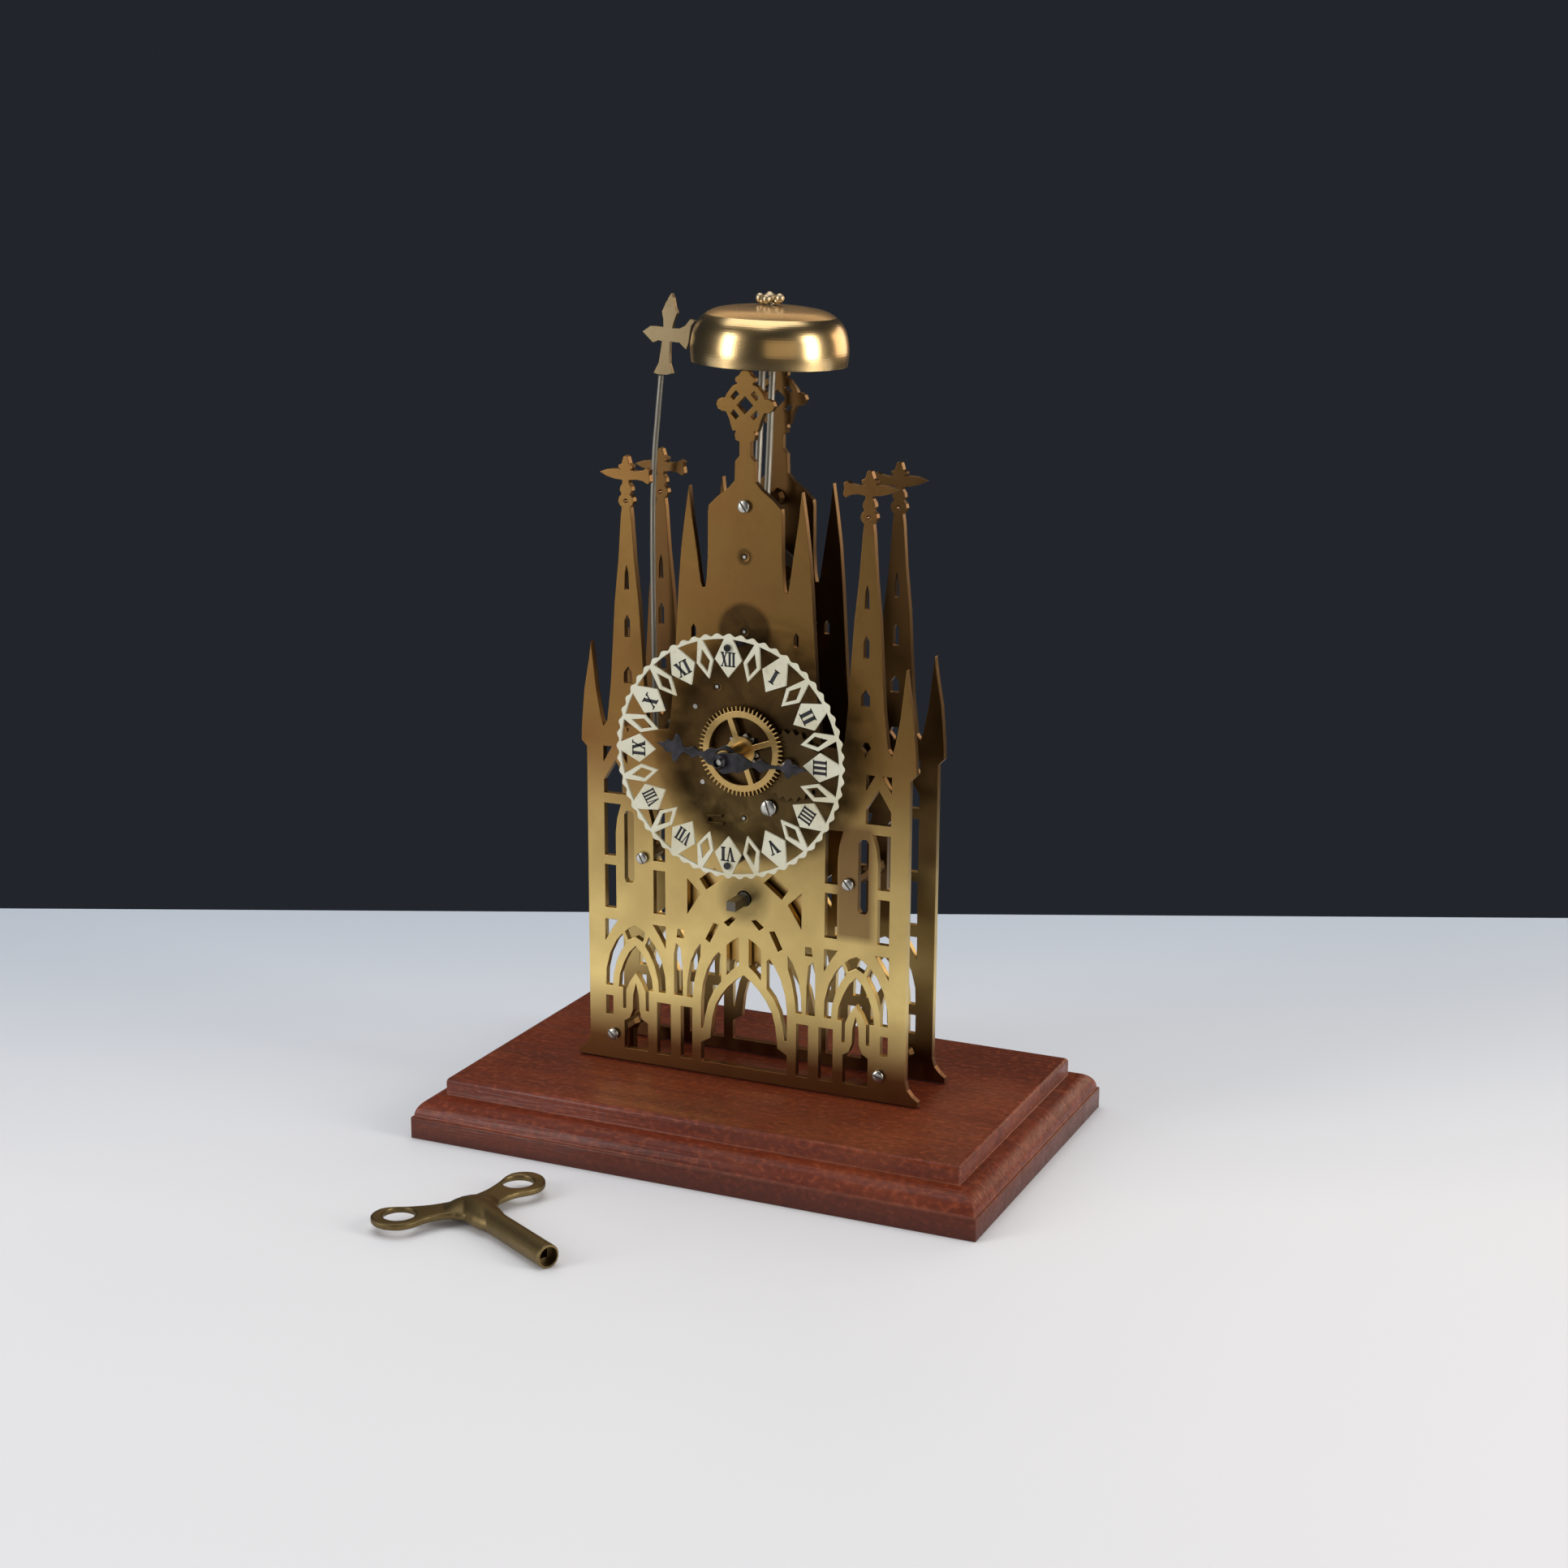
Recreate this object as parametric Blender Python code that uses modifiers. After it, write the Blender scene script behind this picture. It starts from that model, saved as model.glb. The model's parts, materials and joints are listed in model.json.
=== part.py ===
"""Gothic skeleton clock: fretted brass plates on a mahogany base, an open going train,
a pierced dial, a hammer that strikes a bell, a pendulum behind, and a winding key.

Metres, +Z up. The origin is the middle of the base's underside and the dial faces -Y.
Run it in Blender 4.5 from the text editor, or with blender --background --python part.py.
"""

import math

import bmesh
import bpy
from mathutils import Matrix, Vector

# Clearances and cuts
SEAT = 0.0003
RUN = 0.00025
OVERRUN = 0.001
WELD = 0.00001
CREASE = math.radians(35)

# Base
BASE_WIDTH = 0.200
BASE_DEPTH = 0.1245
PLINTH_RISE = 0.0074
LEDGE = 0.0008
OVOLO_REACH = 0.0070
OVOLO_RISE = 0.0062
FILLET = 0.0010
TOP_RISE = 0.0061
OVOLO_STEPS = 4

# Fretted plates: the facade tables below are shares of this span and rise
FACADE_SPAN = 0.100
FACADE_RISE = 0.100
PLATE_THICKNESS = 0.0025
PLATE_GAP = 0.0222
PLATES_FORWARD = 0.00075

# Arbors and their pivots
ARBOR_RADIUS = 0.0012
PIVOT_RADIUS = 0.0006
PIVOT_STAND = 0.0003
COLLET_RADIUS = 0.0024
COLLET_LENGTH = 0.0014
WHEEL_THICKNESS = 0.0014
PINION_OVERLAP = 0.0006
NECK_SHARE = 0.95
SPOKE_WIDTH = 0.0019
RIM_WIDTH = 0.0026
HUB_RADIUS = 0.0042

# Tooth counts
GREAT_TEETH = 70
SECOND_PINION_LEAVES = 10
SECOND_TEETH = 50
CENTRE_PINION_LEAVES = 10
CENTRE_TEETH = 72
THIRD_PINION_LEAVES = 6
THIRD_TEETH = 96
ESCAPE_PINION_LEAVES = 6
ESCAPE_TEETH = 30
CANNON_TEETH = 12
MINUTE_TEETH = 24
MINUTE_PINION_LEAVES = 10
HOUR_TEETH = 60
RATCHET_TEETH = 24

# Addendum and dedendum as shares of the module, tip and root half widths as shares of the pitch
WHEEL_FORM_SHARES = (0.65, 1.00, 0.00, 0.50)
PINION_FORM_SHARES = (0.35, 0.95, 0.00, 0.50)
MOTION_FORM_SHARES = (0.60, 1.00, 0.13, 0.50)
MINUTE_PINION_FORM_SHARES = (0.50, 1.00, 0.08, 0.50)
VALLEY_SHARE = 0.50

# Centres of the arbors, as shares of the facade's span and rise
BARREL_PLACE_SHARES = (0.000, 0.630)
SECOND_PLACE_SHARES = (0.000, 0.902)
CENTRE_PLACE_SHARES = (0.000, 1.130)
THIRD_PLACE_SHARES = (-0.096, 1.330)
ESCAPE_PLACE_SHARES = (0.000, 1.517)
PALLET_PLACE_SHARES = (0.000, 1.757)
MINUTE_PLACE_SHARES = (0.166, 1.096)
HAMMER_PLACE_SHARES = (-0.410, 1.008)
STOP_PLACE_SHARES = (-0.148, 1.009)
SPRING_PLACE_SHARES = (-0.174, 1.258)
BOSS_PLACE_SHARES = (0.090, 0.948)
CLICK_PLACE_SHARES = (0.120, 0.795)
CLICK_SPRING_PLACE_SHARES = (0.160, 0.960)
TOP_PILLAR_SHARES = (0.000, 1.918)
SIDE_PILLAR_SHARES = (0.370, 0.725)
FOOT_PILLAR_SHARES = (0.484, 0.093)

# Front faces of the wheels between the plates, as shares of the gap
GREAT_STATION_SHARE = 0.045
SECOND_STATION_SHARE = 0.856
CENTRE_STATION_SHARE = 0.360
THIRD_STATION_SHARE = 0.563
ESCAPE_STATION_SHARE = 0.743
TAIL_STATION_SHARE = 0.190
HAMMER_STATION_SHARE = 0.680

# Barrel and winding work
GREAT_THICKNESS = 0.0020
DRUM_SHARE = 0.86
DRUM_CLEARANCE = 0.0008
DRUM_WALL = 0.0014
CAP_THICKNESS = 0.0010
BARREL_ARBOR_RADIUS = 0.0030
BARREL_JOURNAL_RADIUS = 0.0024
WINDING_SQUARE = 0.0032
WINDING_REACH = 0.0100
RATCHET_RADIUS = 0.0088
RATCHET_DEPTH = 0.0012
RATCHET_THICKNESS = 0.0020
CLICK_CLEARANCE = 0.0003
CLICK_NOSE_ANGLE = math.radians(95)
CLICK_HEAD_RADIUS = 0.0024
RATCHET_LEAN_SHARE = 0.15
DRUM_SIDES = 18

# The click from its screw to its nose: along it as shares of that run, across it of its head's radius
CLICK_SHARES = (
    (0.00, -1.00), (-0.12, -0.80), (-0.20, 0.00), (-0.12, 0.80), (0.00, 1.00), (0.35, 0.90),
    (0.70, 0.55), (1.00, 0.25),
)
CLICK_UNDER_SHARES = ((0.80, -0.20), (0.50, -0.50))
CLICK_PRESS_SHARE = 0.20

# Escape wheel and pallets
ESCAPE_TIP_RADIUS = 0.0170
ESCAPE_ROOT_RADIUS = 0.0142
ESCAPE_THICKNESS = 0.0010
ESCAPE_LEAN_SHARE = 0.30
PALLET_CLEARANCE = 0.0013
PALLET_THICKNESS = 0.0018

# Half of the anchor. Arms: how far past the start as a share of a collet's radius, and the angle
# as a share of the angle to the pallets, first from the pallets' arbor and then from the tips
ANCHOR_TOP_SHARES = ((1.40, 0.00), (1.10, 0.09))
ANCHOR_ARM_SHARES = ((1.70, 0.72), (1.00, 1.02), (0.00, 1.06), (0.00, 0.94), (0.80, 0.60))
ANCHOR_CROTCH_SHARE = 1.20

# Cam and hammer
CAM_RADIUS = 0.0060
CAM_THICKNESS = 0.0014
CAM_STEPS = 12
CAM_DROP_SHARE = 0.50
TAIL_CLEARANCE = 0.0004
TAIL_ANGLE = math.radians(35)
TAIL_THICKNESS_SHARE = 0.80
HAMMER_THICKNESS = 0.0016
HAMMER_GAP = 0.0007
HEAD_RISE = 0.0260
STRIKE_SHARE = 0.68
ARM_WIDTH = 0.0021
ARM_HUB_SHARE = 1.40
STUD_RADIUS = 0.0011
SPRING_STUD_SHARE = 1.60

# Motion work, hands and dial, in front of the front plate
MOTION_THICKNESS = 0.0009
MOTION_CLEARANCE = 0.0004
HOUR_WHEEL_THICKNESS = 0.0012
MINUTE_PINION_LENGTH = 0.0024
CENTRE_FRONT_RADIUS = 0.00105
CANNON_WALL = 0.00065
HOUR_WALL = 0.0007
HOUR_SPOKE_ANGLE = math.radians(20)
HAND_EYE_SHARE = 0.70
DIAL_SET_OUT = 0.0112
DIAL_THICKNESS = 0.0010
HOUR_HAND_SET_OUT = 0.0145
MINUTE_HAND_SET_OUT = 0.0170
HAND_THICKNESS = 0.0008
HAND_NUT_RADIUS = 0.0024
HAND_NUT_LENGTH = 0.0022
HAND_NUT_SHARES = (0.70, 0.60)
MINUTE_HAND_LENGTH = 0.0300
HOUR_HAND_LENGTH = 0.0243
HOUR_HAND_ANGLE = math.radians(172.5)
DIAL_RADIUS = 0.0400
DIAL_RING_WIDTH = 0.0023
MINUTE_MARKS = 60
HOURS = 12
DIAL_FOOT_SHARE = 0.89
DIAL_FOOT_RADIUS = 0.0012

# The dial's cartouches and lozenges, out and across, as shares of its radius; the ring cuts them off
CARTOUCHE_SHARES = ((0.790, -0.118), (0.650, 0.000), (0.790, 0.118))
CARTOUCHE_NECK_SHARE = 0.040
LOZENGE_SHARES = ((0.790, -0.076), (0.655, 0.000), (0.790, 0.076))
LOZENGE_NECK_SHARE = 0.022
LOZENGE_WINDOW_SHARES = ((0.700, 0.000), (0.790, 0.040), (0.880, 0.000), (0.790, -0.040))

# Pillars and screws
PILLAR_RADIUS = 0.0030
PILLAR_WAIST = 0.0021
PILLAR_COLLAR = 0.0022
SCREW_RADIUS = 0.0010
SCREW_DEPTH = 0.0042
SCREW_HEAD_RADIUS = 0.0020
SCREW_HEAD_RISE = 0.0013
BOSS_SCREW_SHARE = 1.35
FOOT_STUD_RADIUS = 0.0016
FOOT_STUD_DEPTH = 0.0120

# Bell and its rods
ROD_RADIUS = 0.0011
ROD_LEAN = math.radians(5.5)
ROD_SPACING = 0.0080
ROD_SINK = 0.0012
BELL_RADIUS = 0.0253
BELL_DEPTH = 0.0182
BELL_LIFT = 0.0008
BELL_WALL = 0.0013
BELL_SIDES = 26
BRIDGE_THICKNESS = 0.0016
BRIDGE_WIDTH = 0.0050
BELL_NUT_RADIUS = 0.0024
BELL_NUT_RISE = 0.0013
BELL_NUT_BORE = 0.0008
FLOWER_SPAN = 0.0082
FLOWER_RISE = 0.0025
FLOWER_THICKNESS = 0.0016

# The bell's outer side from the crown to the rim, as shares of its radius and depth
BELL_SHARES = ((0.42, 1.00), (0.74, 0.95), (0.91, 0.80), (0.98, 0.52), (1.00, 0.00))

# Half of the flower on the bell's nut, as shares of its half span and rise
FLOWER_SHARES = (
    (0.16, -0.12), (0.20, 0.18), (0.55, 0.10), (0.88, 0.06), (1.00, 0.26), (0.84, 0.46), (0.50, 0.42),
    (0.28, 0.54), (0.24, 0.68), (0.36, 0.82), (0.22, 0.98), (0.00, 1.06),
)

# Pendulum, behind the rear plate
PENDULUM_SET_BACK = 0.0095
PENDULUM_LENGTH = 0.0970
PENDULUM_SWING = math.radians(3)
PENDULUM_ROD_RADIUS = 0.0008
BOB_RADIUS = 0.0140
BOB_THICKNESS = 0.0070
RATING_NUT_RADIUS = 0.0028
RATING_NUT_RISE = 0.0026
COCK_WIDTH = 0.0120
COCK_THICKNESS = 0.0028
COCK_FOOT_RISE = 0.0100
STRIP_WIDTH = 0.0030
STRIP_THICKNESS = 0.0004
STRIP_HEIGHT = 0.0060
CRUTCH_LENGTH = 0.0260
CRUTCH_THICKNESS = 0.0012
CRUTCH_SET_BACK = 0.0016
PRONG_RADIUS = 0.0006
LENS_SHARES = ((0.50, 0.88), (0.86, 0.50))

# Key on the table, its mouth measured from the middle and from the front of the base
KEY_MOUTH_LEFT = 0.0082
KEY_MOUTH_FORWARD = 0.07045
KEY_TURN = math.radians(151.3)
KEY_PIPE_RADIUS = 0.00380
KEY_PIPE_LENGTH = 0.0430
KEY_SOCKET_DEPTH = 0.0140
KEY_SPAN = 0.0600
KEY_REACH = 0.0560
KEY_WING_THICKNESS = 0.0022
KEY_EYE_RADIUS = 0.0050
KEY_EYE_SHARES = (1.75, 0.925)

# The key's pipe, radius and length, and half of its wings, across and along, as shares
KEY_PIPE_SHARES = ((0.94, 0.50), (0.94, 0.90), (0.60, 1.00))
KEY_WING_SHARES = (
    (0.00, 0.660), (0.16, 0.690), (0.30, 0.770), (0.52, 0.790), (0.72, 0.775), (0.86, 0.795),
    (0.96, 0.850), (1.00, 0.925), (0.96, 1.000), (0.84, 1.045), (0.70, 1.040), (0.50, 0.975),
    (0.28, 0.925), (0.00, 0.895),
)

# Half outline of a plate from its foot to the top of the finial
OUTLINE_SHARES = (
    (0.620, 0.000), (0.620, 0.020), (0.590, 0.045), (0.575, 0.085), (0.575, 1.085), (0.595, 1.105),
    (0.582, 1.280), (0.556, 1.440), (0.538, 1.280), (0.512, 1.160), (0.498, 1.180), (0.484, 1.300),
    (0.466, 1.580), (0.444, 1.860), (0.441, 1.886), (0.454, 1.908), (0.434, 1.936), (0.444, 1.950),
    (0.433, 1.978), (0.470, 1.982), (0.516, 1.996), (0.470, 2.008), (0.436, 2.009), (0.449, 2.024),
    (0.422, 2.054), (0.395, 2.024), (0.406, 2.009), (0.370, 2.004), (0.336, 2.018), (0.334, 1.966),
    (0.370, 1.982), (0.410, 1.978), (0.399, 1.950), (0.409, 1.936), (0.389, 1.908), (0.402, 1.886),
    (0.392, 1.720), (0.378, 1.580), (0.360, 1.300), (0.350, 1.190), (0.335, 1.165), (0.270, 1.170),
    (0.256, 1.300), (0.238, 1.580), (0.224, 1.770), (0.210, 1.880), (0.196, 1.973), (0.186, 1.880),
    (0.169, 1.770), (0.152, 1.652), (0.139, 1.650), (0.130, 1.750), (0.127, 1.912), (0.058, 1.972),
    (0.036, 1.996), (0.034, 2.058), (0.019, 2.076), (0.019, 2.120), (0.036, 2.130), (0.054, 2.176),
    (0.102, 2.234), (0.074, 2.263), (0.050, 2.290), (0.043, 2.310), (0.016, 2.336), (0.000, 2.342),
)

# Half of the great arch between the feet
ARCH_SHARES = (
    (0.156, 0.045), (0.156, 0.110), (0.122, 0.130), (0.114, 0.205), (0.102, 0.250), (0.082, 0.286),
    (0.056, 0.320), (0.000, 0.366),
)

# Openings that come once on each side
WINDOW_SHARES = (
    ((0.190, 0.045), (0.232, 0.045), (0.232, 0.226), (0.190, 0.226)),
    ((0.270, 0.045), (0.320, 0.045), (0.320, 0.226), (0.270, 0.226)),
    ((0.356, 0.047), (0.444, 0.047), (0.444, 0.144), (0.412, 0.185), (0.400, 0.280), (0.388, 0.185),
     (0.356, 0.144)),
    ((0.464, 0.262), (0.444, 0.350), (0.400, 0.413), (0.356, 0.350), (0.336, 0.262), (0.352, 0.188),
     (0.362, 0.188), (0.377, 0.286), (0.400, 0.320), (0.423, 0.286), (0.438, 0.188), (0.448, 0.188)),
    ((0.439, 0.460), (0.400, 0.484), (0.361, 0.460), (0.373, 0.432), (0.400, 0.446), (0.427, 0.432)),
    ((0.158, 0.454), (0.195, 0.385), (0.208, 0.262), (0.188, 0.262), (0.173, 0.365), (0.159, 0.410)),
    ((0.224, 0.262), (0.256, 0.262), (0.256, 0.405), (0.248, 0.444), (0.230, 0.420)),
    ((0.220, 0.464), (0.246, 0.464), (0.242, 0.494), (0.220, 0.494)),
    ((0.083, 0.332), (0.083, 0.430), (0.109, 0.414), (0.140, 0.350), (0.156, 0.265), (0.156, 0.160),
     (0.142, 0.205), (0.108, 0.302)),
    ((0.018, 0.400), (0.018, 0.494), (0.062, 0.462), (0.062, 0.359)),
    ((0.028, 0.558), (0.044, 0.562), (0.072, 0.540), (0.056, 0.528)),
    ((0.092, 0.528), (0.110, 0.532), (0.139, 0.474), (0.124, 0.464)),
    ((0.072, 0.693), (0.104, 0.722), (0.160, 0.678), (0.136, 0.644)),
    ((0.158, 0.628), (0.206, 0.673), (0.206, 0.552)),
    ((0.288, 0.536), (0.331, 0.536), (0.331, 0.686), (0.288, 0.686)),
    ((0.288, 0.718), (0.288, 0.898), (0.349, 0.898), (0.331, 0.800), (0.331, 0.718)),
    ((0.471, 0.536), (0.512, 0.536), (0.512, 0.686), (0.471, 0.686)),
    ((0.512, 0.718), (0.512, 0.898), (0.451, 0.898), (0.471, 0.800), (0.471, 0.718)),
    ((0.403, 0.645), (0.420, 0.628), (0.438, 0.645), (0.438, 0.865), (0.420, 0.882), (0.403, 0.865)),
    ((0.426, 1.092), (0.426, 1.040), (0.456, 1.092)),
    ((0.482, 1.092), (0.513, 1.092), (0.513, 1.040)),
    ((0.426, 0.932), (0.512, 0.932), (0.512, 0.978), (0.469, 1.046), (0.426, 0.978)),
    ((0.404, 1.310), (0.434, 1.310), (0.434, 1.352), (0.404, 1.352)),
    ((0.404, 1.186), (0.422, 1.202), (0.440, 1.186), (0.422, 1.148)),
)

# Openings of a side arch that also come mirrored about the middle of that arch
SIDE_ARCH_SHARE = 0.400
TWIN_WINDOW_SHARES = (
    ((0.512, 0.262), (0.510, 0.320), (0.486, 0.400), (0.450, 0.450), (0.436, 0.419), (0.472, 0.352),
     (0.487, 0.262)),
    ((0.513, 0.496), (0.466, 0.496), (0.488, 0.464), (0.513, 0.420)),
)
SPIRE_EYE_SHARES = (0.421, 1.916)
SPIRE_EYE_SHARE = 0.007
FINIAL_EYE_SHARES = (0.000, 2.234)
FINIAL_EYE_SHARE = 0.023

# Hands, along and across, as shares of the hand's length
MINUTE_HAND_SHARES = (
    (0.00, 0.085), (0.10, 0.095), (0.20, 0.107), (0.30, 0.060), (0.37, 0.028), (0.42, 0.050),
    (0.47, 0.067), (0.53, 0.036), (0.60, 0.018), (0.70, 0.020), (0.74, 0.052), (0.79, 0.085),
    (0.82, 0.050), (0.86, 0.062), (0.90, 0.030), (1.00, 0.000),
)
HOUR_HAND_SHARES = (
    (0.00, 0.110), (0.12, 0.120), (0.22, 0.112), (0.30, 0.050), (0.38, 0.036), (0.46, 0.074),
    (0.53, 0.040), (0.60, 0.046), (0.66, 0.120), (0.74, 0.148), (0.78, 0.080), (0.84, 0.094),
    (0.89, 0.044), (1.00, 0.000),
)

# Hammer head, as shares of its rise from the point that strikes the bell
HEAD_SHARES = (
    (-0.32, 0.33), (-0.40, 0.20), (-0.45, 0.10), (-0.43, 0.01), (-0.43, -0.09), (-0.53, -0.08),
    (-0.61, -0.08), (-0.72, -0.15), (-0.63, -0.23), (-0.58, -0.28), (-0.50, -0.25), (-0.45, -0.26),
    (-0.47, -0.38), (-0.50, -0.53), (-0.57, -0.65), (-0.51, -0.67), (-0.39, -0.67), (-0.31, -0.65),
    (-0.35, -0.53), (-0.35, -0.40), (-0.34, -0.26), (-0.21, -0.27), (-0.12, -0.35), (-0.09, -0.28),
    (-0.07, -0.15), (-0.05, -0.06), (0.00, 0.00), (-0.06, 0.02), (-0.13, -0.06), (-0.21, -0.10),
    (-0.31, -0.10), (-0.29, -0.02), (-0.24, 0.09), (-0.27, 0.16), (-0.29, 0.27),
)
HEAD_FOOT_SHARES = (-0.45, -0.67)

# The hammer's arm from its arbor to its head: along it and aside of it, as shares of its run
ARM_SHARES = ((0.89, 0.009), (0.79, 0.016), (0.63, 0.019), (0.32, 0.012))

# Colours, with roughness and metallic value
MATERIALS = {
    "mahogany": ((0.115, 0.022, 0.012), 0.30, 0.0),
    "plate_brass": ((0.48, 0.30, 0.10), 0.33, 1.0),
    "wheel_brass": ((0.60, 0.38, 0.12), 0.28, 1.0),
    "bell_brass": ((0.72, 0.45, 0.16), 0.12, 1.0),
    "old_brass": ((0.16, 0.12, 0.055), 0.45, 1.0),
    "steel": ((0.62, 0.62, 0.60), 0.25, 1.0),
    "blued_steel": ((0.012, 0.012, 0.014), 0.35, 0.6),
    "silvered": ((0.78, 0.76, 0.68), 0.42, 0.2),
}

BASE_HEIGHT = PLINTH_RISE + OVOLO_RISE + TOP_RISE
BASE_FRONT = -BASE_DEPTH / 2
PLATE_FOOT = BASE_HEIGHT + SEAT
PLATES_MIDDLE = -PLATES_FORWARD
FRONT_INNER = PLATES_MIDDLE - PLATE_GAP / 2
FRONT_FACE = FRONT_INNER - PLATE_THICKNESS
REAR_INNER = PLATES_MIDDLE + PLATE_GAP / 2
REAR_FACE = REAR_INNER + PLATE_THICKNESS
TURN = 2 * math.pi


def place(shares):
    """A point of the facade, across and up, from its shares."""
    return (shares[0] * FACADE_SPAN, PLATE_FOOT + shares[1] * FACADE_RISE)


def inside(share):
    """A depth between the plates, from its share of the gap."""
    return FRONT_INNER + share * PLATE_GAP


BARREL = place(BARREL_PLACE_SHARES)
SECOND = place(SECOND_PLACE_SHARES)
CENTRE = place(CENTRE_PLACE_SHARES)
THIRD = place(THIRD_PLACE_SHARES)
ESCAPE = place(ESCAPE_PLACE_SHARES)
PALLET = place(PALLET_PLACE_SHARES)
MINUTE = place(MINUTE_PLACE_SHARES)
HAMMER = place(HAMMER_PLACE_SHARES)
STOP = place(STOP_PLACE_SHARES)
SPRING = place(SPRING_PLACE_SHARES)
BOSS = place(BOSS_PLACE_SHARES)
CLICK = place(CLICK_PLACE_SHARES)
CLICK_SPRING = place(CLICK_SPRING_PLACE_SHARES)
BELL_RIM = place(OUTLINE_SHARES[-1])[1] + BELL_LIFT
BELL_CROWN = BELL_RIM + BELL_DEPTH
STRIKE = (-BELL_RADIUS - HAMMER_GAP, BELL_RIM + BELL_DEPTH * STRIKE_SHARE)
TOP_PILLAR = place(TOP_PILLAR_SHARES)
SIDE_PILLAR = place(SIDE_PILLAR_SHARES)
FOOT_PILLAR = place(FOOT_PILLAR_SHARES)
GREAT_STATION = inside(GREAT_STATION_SHARE)
SECOND_STATION = inside(SECOND_STATION_SHARE)
CENTRE_STATION = inside(CENTRE_STATION_SHARE)
THIRD_STATION = inside(THIRD_STATION_SHARE)
ESCAPE_STATION = inside(ESCAPE_STATION_SHARE)
TAIL_STATION = inside(TAIL_STATION_SHARE)
HAMMER_STATION = inside(HAMMER_STATION_SHARE)

for old in list(bpy.data.objects):
    bpy.data.objects.remove(old, do_unlink=True)

PARTS = bpy.data.collections.new("skeleton_clock")
CUTTERS = bpy.data.collections.new("cutters")
bpy.context.scene.collection.children.link(PARTS)
bpy.context.scene.collection.children.link(CUTTERS)


def make_material(name):
    """A plain Principled material of one of the table's colours."""
    colour, roughness, metallic = MATERIALS[name]
    material = bpy.data.materials.new(name)
    material.use_nodes = True
    shader = material.node_tree.nodes["Principled BSDF"]
    shader.inputs["Base Color"].default_value = (*colour, 1.0)
    shader.inputs["Roughness"].default_value = roughness
    shader.inputs["Metallic"].default_value = metallic
    return material


SURFACES = {name: make_material(name) for name in MATERIALS}


def pivot(name, centre):
    """An empty on a joint's axis, which runs along Y through a point of the facade."""
    empty = bpy.data.objects.new(name, None)
    empty.location = (centre[0], 0, centre[1])
    empty.empty_display_size = ARBOR_RADIUS
    PARTS.objects.link(empty)
    return empty


def finish(item, material, parent=None):
    """Gives an object its material, collection and parent."""
    item.data.materials.clear()
    item.data.materials.append(SURFACES[material])
    if item.name not in PARTS.objects:
        PARTS.objects.link(item)
    if parent:
        item.parent = parent
        item.location = Vector(item.location) - Vector(parent.location)
    return item


def polar(centre, radius, angle):
    """The point at a radius and an angle round a centre."""
    return (centre[0] + radius * math.cos(angle), centre[1] + radius * math.sin(angle))


def ring(centre, radius, count=12):
    """The points of a circle."""
    return [polar(centre, radius, TURN * step / count) for step in range(count)]


def mirrored(points, middle=0):
    """The points mirrored left to right, in the opposite order."""
    return [(2 * middle - x, z) for x, z in reversed(points)]


def flat_curve(name, outline, holes, thickness, front, origin=(0, 0)):
    """A plate cut to an outline in the facade's plane, with its front face at the depth given."""
    data = bpy.data.curves.new(name, "CURVE")
    data.dimensions = "2D"
    data.fill_mode = "BOTH"
    data.extrude = thickness / 2
    for points in [outline, *holes]:
        spline = data.splines.new("POLY")
        spline.points.add(len(points) - 1)
        for knot, (x, z) in zip(spline.points, points):
            knot.co = (x - origin[0], z - origin[1], 0, 1)
        spline.use_cyclic_u = True
    item = bpy.data.objects.new(name, data)
    item.location = (origin[0], front + thickness / 2, origin[1])
    item.rotation_euler = (math.pi / 2, 0, 0)
    return item


def as_mesh(curve):
    """The same piece as a welded mesh, so that it can be cut or joined."""
    CUTTERS.objects.link(curve)
    bpy.context.view_layer.update()
    evaluated = curve.evaluated_get(bpy.context.evaluated_depsgraph_get())
    data = bpy.data.meshes.new_from_object(evaluated)
    solid = bmesh.new()
    solid.from_mesh(data)
    bmesh.ops.remove_doubles(solid, verts=solid.verts, dist=WELD)
    solid.to_mesh(data)
    solid.free()
    name = curve.name
    matrix = curve.matrix_world.copy()
    bpy.data.objects.remove(curve, do_unlink=True)
    item = bpy.data.objects.new(name, data)
    item.matrix_world = matrix
    return item


def rounded(item):
    """Smooth shading, with the edges kept that are sharper than a crease."""
    item.data.shade_smooth()
    item.data.set_sharp_from_angle(angle=CREASE)
    return item


def turned(name, profile, sides=10, origin=(0, 0), closed=False):
    """A lathe profile of radius and depth pairs, front to rear, turned about an axis along Y."""
    data = bpy.data.meshes.new(name)
    points = [(radius, 0, -depth) for radius, depth in profile]
    edges = [(step, step + 1) for step in range(len(points) - 1)]
    if closed:
        edges.append((len(points) - 1, 0))
    data.from_pydata(points, edges, [])
    item = bpy.data.objects.new(name, data)
    screw = item.modifiers.new("turn", "SCREW")
    screw.axis = "Z"
    screw.angle = TURN
    screw.steps = sides
    screw.render_steps = sides
    screw.use_merge_vertices = True
    screw.merge_threshold = WELD
    screw.use_smooth_shade = False
    item.location = (origin[0], 0, origin[1])
    item.rotation_euler = (math.pi / 2, 0, 0)
    return rounded(as_mesh(item))


def upright(item, spot):
    """Stands a turned piece up, so that its profile's depths become heights above the spot, upside down."""
    item.rotation_euler = (0, 0, 0)
    item.location = spot
    return item


def steps_profile(sections):
    """A stepped rod on its axis, from sections of radius, front depth and rear depth."""
    points = [(0, sections[0][1])]
    for radius, front, rear in sections:
        points.append((radius, front))
        points.append((radius, rear))
    points.append((0, sections[-1][2]))
    return points


def tube_profile(outer, bore, front, rear):
    """A plain sleeve."""
    return [(outer, front), (outer, rear), (bore, rear), (bore, front)]


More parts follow.
